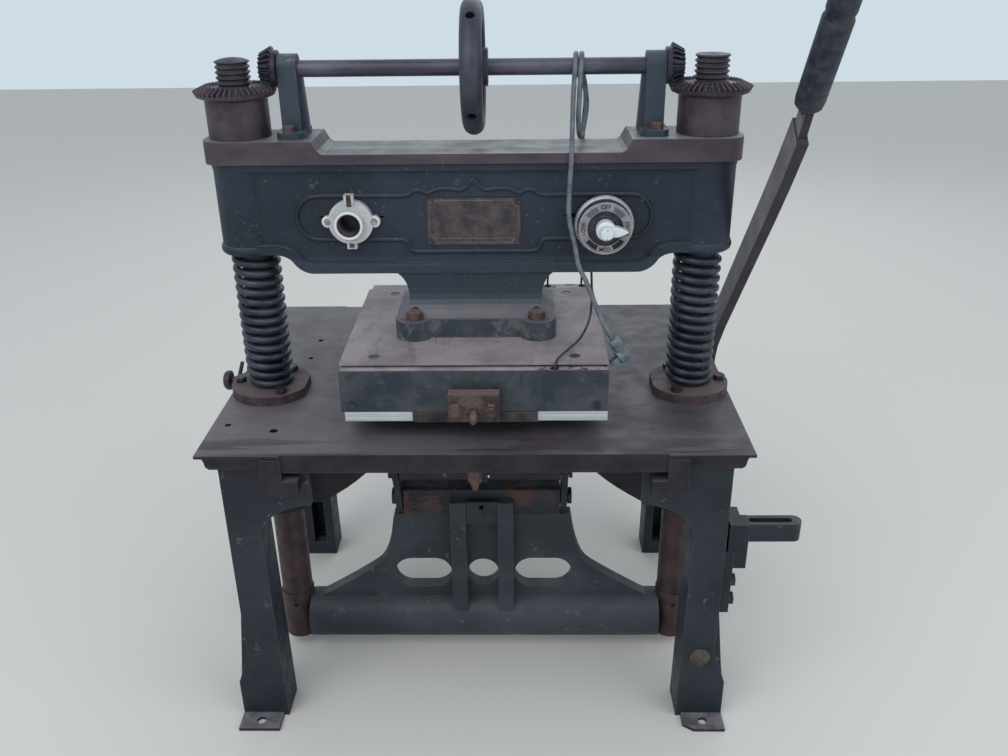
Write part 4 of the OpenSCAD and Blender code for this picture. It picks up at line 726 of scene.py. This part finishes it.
def lathe(name, centre, profile, sides=72):
    """Turns (radius, height in front of the panel), in millimetres, about an axis along -Y."""
    points = []
    for r, d in profile:
        for k in range(sides):
            a = math.tau * k / sides
            points.append(centre + Vector((r * math.cos(a), -d, r * math.sin(a))) * MM)
    faces = []
    for i in range(len(profile) - 1):
        for k in range(sides):
            n = (k + 1) % sides
            faces.append((i * sides + k, (i + 1) * sides + k, (i + 1) * sides + n, i * sides + n))
    return mesh_from(name, points, faces)


def ring(name, centre, inner, outer, start, end, sides=72):
    """A closed ring between two radii and two heights."""
    profile = [(inner, start), (outer, start), (outer, end), (inner, end), (inner, start)]
    return lathe(name, centre, profile, sides)


def arc_plate(name, centre, inner, outer, first, last, start, end, steps=18):
    """A thin curved plate over an angle, in degrees from +X."""
    points = []
    for i in range(steps + 1):
        a = math.radians(first + (last - first) * i / steps)
        for r, d in ((inner, start), (outer, start), (outer, end), (inner, end)):
            points.append(centre + Vector((r * math.cos(a), -d, r * math.sin(a))) * MM)
    faces = [(3, 2, 1, 0)]
    for i in range(steps):
        for k in range(4):
            n = (k + 1) % 4
            faces.append((4 * i + k, 4 * i + n, 4 * i + 4 + n, 4 * i + 4 + k))
    faces.append(tuple(4 * steps + k for k in range(4)))
    return mesh_from(name, points, faces)


def flat_plate(name, centre, outline, start, end):
    """A plate with an outline in X and Z, in millimetres, between two heights in front of the panel."""
    points = [centre + Vector((x, -d, z)) * MM for d in (start, end) for x, z in outline]
    n = len(outline)
    faces = [tuple(range(n)), tuple(range(2 * n - 1, n - 1, -1))]
    faces += [(k, n + k, n + (k + 1) % n, (k + 1) % n) for k in range(n)]
    return mesh_from(name, points, faces)


# ---- springs -------------------------------------------------------------------------

WIRE = 9.8 * MM
WIRE_SIDES = 12
END_GAP = 0.5 * MM
TURNS = 14
HALF_TURNS = TURNS // 2
STEPS_PER_TURN = 40


def spring_height(turn, bottom, top):
    """The wire's height after a number of turns, with the end turns closed."""
    close = WIRE + END_GAP
    pitch = (top - bottom - close) / (TURNS - 1)
    if turn < 0.5:
        return bottom + close * turn
    if turn > TURNS - 0.5:
        return top - close * (TURNS - turn)
    return bottom + close / 2 + (turn - 0.5) * pitch


def spring_half(name, x, radius, first_turn, bottom, top):
    """Half of a left-handed spring that stands on a column's axis at X."""
    count = HALF_TURNS * STEPS_PER_TURN
    points = []
    for i in range(count + 1):
        turn = first_turn + i / STEPS_PER_TURN
        a = math.tau * turn
        z = spring_height(turn, bottom, top)
        for k in range(WIRE_SIDES):
            c = math.tau * k / WIRE_SIDES
            q = radius + WIRE / 2 * math.cos(c)
            points.append((x + q * math.cos(a), COLUMN_Y - q * math.sin(a), z + WIRE / 2 * math.sin(c)))
    faces = []
    for i in range(count):
        here = WIRE_SIDES * i
        after = here + WIRE_SIDES
        for k in range(WIRE_SIDES):
            n = (k + 1) % WIRE_SIDES
            faces.append((here + k, after + k, after + n, here + n))
    end = WIRE_SIDES * count
    faces.append(tuple(range(WIRE_SIDES)))
    faces.append(tuple(range(end + WIRE_SIDES - 1, end - 1, -1)))
    return mesh_from(name, points, faces)


def add_springs():
    """Each spring is made as two halves, a lower and an upper, each a piece of its own."""
    for node in ("spring_left", "spring_right"):
        corner_a, corner_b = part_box(node)
        radius = (corner_b.x - corner_a.x) / 2 - WIRE / 2
        x = middle(node).x
        bottom = corner_a.z + WIRE / 2
        top = corner_b.z - WIRE / 2
        waist = spring_height(HALF_TURNS, bottom, top)
        for part, first_turn, lower, upper, ends in (("lower", 0, "stand", "ram", (bottom, waist)),
                                                     ("upper", HALF_TURNS, "ram", "head", (waist, top))):
            name = f"{node}_{part}"
            mesh = spring_half(name, x, radius, first_turn, bottom, top)
            piece = new_piece(name, mesh, "spring", None, "dark_steel", node)
            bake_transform(piece)


# ---- the panel's bead ----------------------------------------------------------------
# X and Z from the nameplate's middle, in millimetres: the top edge, a round end, the lower edge

BEAD_D = 5.4
BEAD_SUNK = 0.5
BEAD_TOP = [
    (0, 51.6), (3, 50.2), (5.4, 47), (8, 43.6), (12, 40.6), (17, 39), (26, 40.4), (36, 40.8), (46, 39.4),
    (52, 36.6), (57, 35.6), (62, 38), (67, 39.2), (73, 38.2), (78, 34.8), (83, 32.8), (90, 32.5),
    (110, 32.5), (140, 32.5), (165, 32.5), (180, 32.5),
]
BEAD_END = (190, 5)
BEAD_END_R = 27.5
BEAD_LOW = [
    (180, -22.5), (165, -22.5), (140, -22.5), (110, -22.5), (92, -22.5), (86, -23.4), (82.6, -27),
    (80.2, -33), (76.6, -36.8), (70, -38), (50, -38), (25, -38), (0, -38),
]


def add_bead():
    """The bold half-round bead cast round the panel, smooth through its corners."""
    round_end = []
    for degrees in range(75, -76, -15):
        a = math.radians(degrees)
        round_end.append((BEAD_END[0] + BEAD_END_R * math.cos(a), BEAD_END[1] + BEAD_END_R * math.sin(a)))
    half = BEAD_TOP + round_end + BEAD_LOW
    outline = half + [(-x, z) for x, z in reversed(half) if x]
    y = WEB_FRONT / MM - BEAD_SUNK
    route = curved([(x, y, PANEL_Z / MM + z) for x, z in outline])
    bead = tube_curve("panel_bead_round", route, BEAD_D * MM, True)
    new_piece("panel_bead_round", bead, "crosshead", "head", "casting_paint")


# ---- the heat switch -----------------------------------------------------------------
# profiles are (radius, height in front of the panel), in millimetres

SHOULDER = [(36.3, 8.6), (36.3, 9.6), (35.8, 10.9), (34.9, 12), (33.5, 12.9), (32.9, 13.4), (32.8, 14.4)]
# name, inner and outer radius, back and front, material and slot
SWITCH_RINGS = [
    ("switch_rim", 31.2, 32.0, 26.0, 26.9, "bright", "bare_aluminium"),
    ("switch_dial", 21.4, 31.3, 26.3, 26.7, "dial", "bare_aluminium"),
    ("switch_well_ring", 14.3, 15.1, 24.4, 24.8, "mark_grey", "switch_black"),
]
# letter, first and last angle in degrees, and material
SWITCH_MARKS = [
    ("a", 35, 68, "mark_grey"),
    ("b", 112, 145, "mark_grey"),
    ("c", 215, 248, "mark_black"),
    ("d", 292, 325, "mark_black"),
]
MARK_INNER = 22.5
MARK_OUTER = 28.5
MARK_BACK = 26.6
MARK_FRONT = 26.9
# word, its place on the dial and its own turn, in degrees
WORDS = [("OFF", 90, 0), ("LOW", 180, 90), ("HIGH", 0, -90), ("MED", 270, 0)]
WORD_SIZE = 7.0
WORD_RADIUS = 26.2
WORD_FRONT = 26.8
KNOB_R = 12
KNOB_BACK = 24.9
POINTER_BACK = 33
POINTER_FRONT = 45
POINTER = [(-4, -6.6), (10, -6.2), (14, -6), (20, -3.6), (26, -0.7), (26, 0.7), (20, 3.6), (14, 6),
           (10, 6.2), (-4, 6.6)]
# heights of the two black discs painted on the knob as the shade in its hole and its notch
KNOB_HOLE_SHADES = [("top", 5.2), ("bottom", -6.2)]


def word_curve(word):
    """A dial word as thin raised letters, a little bolder than the font's own."""
    data = bpy.data.curves.new(f"word_{word}", "FONT")
    data.body = word
    data.size = WORD_SIZE * MM
    data.align_x = "CENTER"
    data.align_y = "CENTER"
    data.extrude = 0.1 * MM
    data.offset = 0.04 * MM
    return data


def add_switch():
    """The switch's bright shoulder and rims, its dial with painted marks, and the four words."""
    shoulder = lathe("switch_shoulder", SWITCH, SHOULDER)
    new_piece("switch_shoulder", shoulder, "bright", "head", "bare_aluminium")
    for name, inner, outer, start, end, key, slot in SWITCH_RINGS:
        new_piece(name, ring(name, SWITCH, inner, outer, start, end), key, "head", slot)
    for letter, first, last, key in SWITCH_MARKS:
        name = f"switch_mark_{letter}"
        mesh = arc_plate(name, SWITCH, MARK_INNER, MARK_OUTER, first, last, MARK_BACK, MARK_FRONT)
        new_piece(name, mesh, key, "head", "switch_black")
    for word, degrees, turn in WORDS:
        a = math.radians(degrees)
        place = SWITCH + Vector((WORD_RADIUS * math.cos(a), -WORD_FRONT, WORD_RADIUS * math.sin(a))) * MM
        upright = Matrix.Rotation(math.radians(90), 4, "X") @ Matrix.Rotation(math.radians(turn), 4, "Z")
        stand = Matrix.Translation(place) @ upright
        new_piece(f"word_{word}", word_curve(word), "mark_black", "head", "switch_black", place=stand)


def add_knob():
    """The moulded white pointer knob, its boss and pointer run together and softened, and two black discs
    painted on its front as the shade in a hole and a notch.
    """
    front = (WEB_FRONT - low("switch_knob").y) / MM
    profile = [(0, KNOB_BACK), (KNOB_R, KNOB_BACK), (KNOB_R, 37.5), (11, 39.4), (8.4, 40), (8, front - 1.4),
               (6.8, front - 0.2), (0, front - 0.2)]
    form = bmesh.new()
    form.from_mesh(lathe("boss", SWITCH, profile, 48))
    form.from_mesh(flat_plate("pointer", SWITCH, POINTER, POINTER_BACK, POINTER_FRONT))
    bmesh.ops.remove_doubles(form, verts=form.verts, dist=0.01 * MM)
    bmesh.ops.recalc_face_normals(form, faces=form.faces)
    mesh = bpy.data.meshes.new("pointer_knob")
    form.to_mesh(mesh)
    form.free()
    piece = new_piece("pointer_knob", mesh, "knob", "switch_pointer", "porcelain", "switch_knob")
    skin = piece.modifiers.new("skin", "REMESH")
    skin.mode = "VOXEL"
    skin.voxel_size = 0.7 * MM
    skin.use_smooth_shade = True
    soft = piece.modifiers.new("soft", "SMOOTH")
    soft.factor = 0.5
    soft.iterations = 8
    # painted shade: two small black discs on the knob's front stand for the shade in the hole at its top
    # and the notch at its bottom
    dot = [(0, front - 0.15), (0.75, front - 0.1), (0.75, front - 1.6), (0, front - 1.6)]
    for end, z in KNOB_HOLE_SHADES:
        name = f"knob_hole_shade_{end}"
        mesh = lathe(name, SWITCH + Vector((0.5, 0, z)) * MM, dot, 16)
        new_piece(name, mesh, "mark_black", "switch_pointer", "switch_black")


# ---- the lampholder ------------------------------------------------------------------

THREAD_R = 12.8
THREAD_DEPTH = 0.38
THREAD_PITCH = 3.6
THREAD_FRONT = 16
THREAD_STEP = 0.5
THREAD_RINGS = 57
MOUTH = [(14.6, 19.05), (15.2, 19.6), (16.4, 19.7), (17.2, 19.3), (17.75, 18.4), (17.8, 17.2)]
EAR_X = 28.6
EAR_RING = [(4.1, 5.8), (4.4, 6.5), (5.6, 6.6), (6.4, 6.2), (6.9, 5.4)]
# outlines in X and Z, each with where it stands and its two heights in front of the panel
SPRING_PLATES = [
    ("socket_tongue", SOCKET, [(-3, -1.5), (3, -1.5), (3.4, 5), (2, 9.5), (-2, 9.5), (-3.4, 5)], -9, -8),
    ("clip_top", LAMP, [(-2.8, 20), (2.8, 20), (2.8, 31.5), (1.6, 33), (-1.6, 33), (-2.8, 31.5)], 5.2, 8),
    ("clip_bottom", LAMP, [(-3, -31), (3, -31), (3, -26), (-3, -26)], 10.8, 12.2),
]


def add_lampholder():
    """The socket's thread rings, rounded mouth, ear rings, contact tongue and two clips."""
    profile = []
    for i in range(THREAD_RINGS):
        d = THREAD_FRONT - i * THREAD_STEP
        profile.append((THREAD_R + THREAD_DEPTH * math.cos(math.tau * d / THREAD_PITCH), d))
    thread = lathe("socket_thread", SOCKET, profile, 48)
    new_piece("socket_thread", thread, "thread", "head", "brass")
    new_piece("socket_mouth", lathe("socket_mouth", SOCKET, MOUTH), "knob", "head", "porcelain")
    for side in (-1, 1):
        name = f"ear_ring_{side + 1}"
        ear = LAMP + Vector((EAR_X * side, 0, 0)) * MM
        new_piece(name, lathe(name, ear, EAR_RING, 32), "knob", "head", "porcelain")
    for name, centre, outline, start, end in SPRING_PLATES:
        new_piece(name, flat_plate(name, centre, outline, start, end), "clip", "head", "brass")


# ---- the nameplate -------------------------------------------------------------------

BORDER_D = 1.1
BORDER_INSET = 2.6
BORDER_NOTCH = 7


def add_plate_border():
    """A thin raised line just inside the nameplate's edge, stepping in round its screws."""
    a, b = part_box("nameplate")
    w = (b.x - a.x) / 2 / MM - BORDER_INSET
    h = (b.z - a.z) / 2 / MM - BORDER_INSET
    notch = BORDER_NOTCH
    quarter = [(w - notch, h), (w - notch, h - 2.5), (w - 4, h - notch), (w, h - notch)]
    back = quarter[::-1]
    right = quarter + [(x, -z) for x, z in back]
    outline = right + [(-x, -z) for x, z in right]
    centre = Vector(((a.x + b.x) / 2, a.y, (a.z + b.z) / 2))
    route = [centre + Vector((x, 0.0, z)) * MM for x, z in outline]
    border = tube_curve("nameplate_border", route, BORDER_D * MM, True)
    new_piece("nameplate_border", border, "border", "head", "brass")


# ---- the stage -----------------------------------------------------------------------

FLOOR_HALF = 6.0
LAMP_AIM = Vector((0, -0.05, 0.5))
# name, place, size in metres and power in watts
LAMPS = [
    ("key", (-1.1, -1.9, 2.6), 2.4, 34),
    ("fill", (1.8, -1.2, 1.7), 2.0, 12),
    ("back", (0.4, 2.4, 2.2), 2.2, 14),
]


def add_floor():
    h = FLOOR_HALF
    mesh = bpy.data.meshes.new("floor")
    mesh.from_pydata([(-h, -h, 0), (h, -h, 0), (h, h, 0), (-h, h, 0)], [], [(0, 1, 2, 3)])
    floor = bpy.data.objects.new("floor", mesh)
    scene.collection.objects.link(floor)
    s = Shader("floor_pale", roughness=0.9, specular=0.2)
    mesh.materials.append(s.finish(rgb(214, 212, 208)))


def add_sky():
    """A pale light all round, and a plain pale backdrop that the camera and reflections see."""
    world = bpy.data.worlds.new("world")
    scene.world = world
    world.use_nodes = True
    tree = world.node_tree
    light = tree.nodes["Background"]
    light.inputs["Color"].default_value = rgb(226, 236, 244)
    light.inputs["Strength"].default_value = 0.75
    backdrop = tree.nodes.new("ShaderNodeBackground")
    backdrop.inputs["Color"].default_value = rgb(206, 220, 230)
    path = tree.nodes.new("ShaderNodeLightPath")
    seen = path.outputs["Is Camera Ray"]
    for ray in ("Is Glossy Ray", "Is Transmission Ray"):
        either = tree.nodes.new("ShaderNodeMath")
        either.operation = "MAXIMUM"
        tree.links.new(seen, either.inputs[0])
        tree.links.new(path.outputs[ray], either.inputs[1])
        seen = either.outputs[0]
    share = tree.nodes.new("ShaderNodeMixShader")
    tree.links.new(seen, share.inputs["Fac"])
    tree.links.new(light.outputs[0], share.inputs[1])
    tree.links.new(backdrop.outputs[0], share.inputs[2])
    tree.links.new(share.outputs[0], tree.nodes["World Output"].inputs["Surface"])


def add_lamps():
    for name, place, size, power in LAMPS:
        data = bpy.data.lights.new(name, "AREA")
        data.size = size
        data.energy = power
        lamp = bpy.data.objects.new(name, data)
        scene.collection.objects.link(lamp)
        lamp.location = place
        aim = LAMP_AIM - Vector(place)
        lamp.rotation_euler = aim.to_track_quat("-Z", "Y").to_euler()


# ---- the scene -----------------------------------------------------------------------

add_camera()
paint_nodes()
add_cords()
add_springs()
add_bead()
add_switch()
add_knob()
add_lampholder()
add_plate_border()
add_floor()
add_sky()
add_lamps()
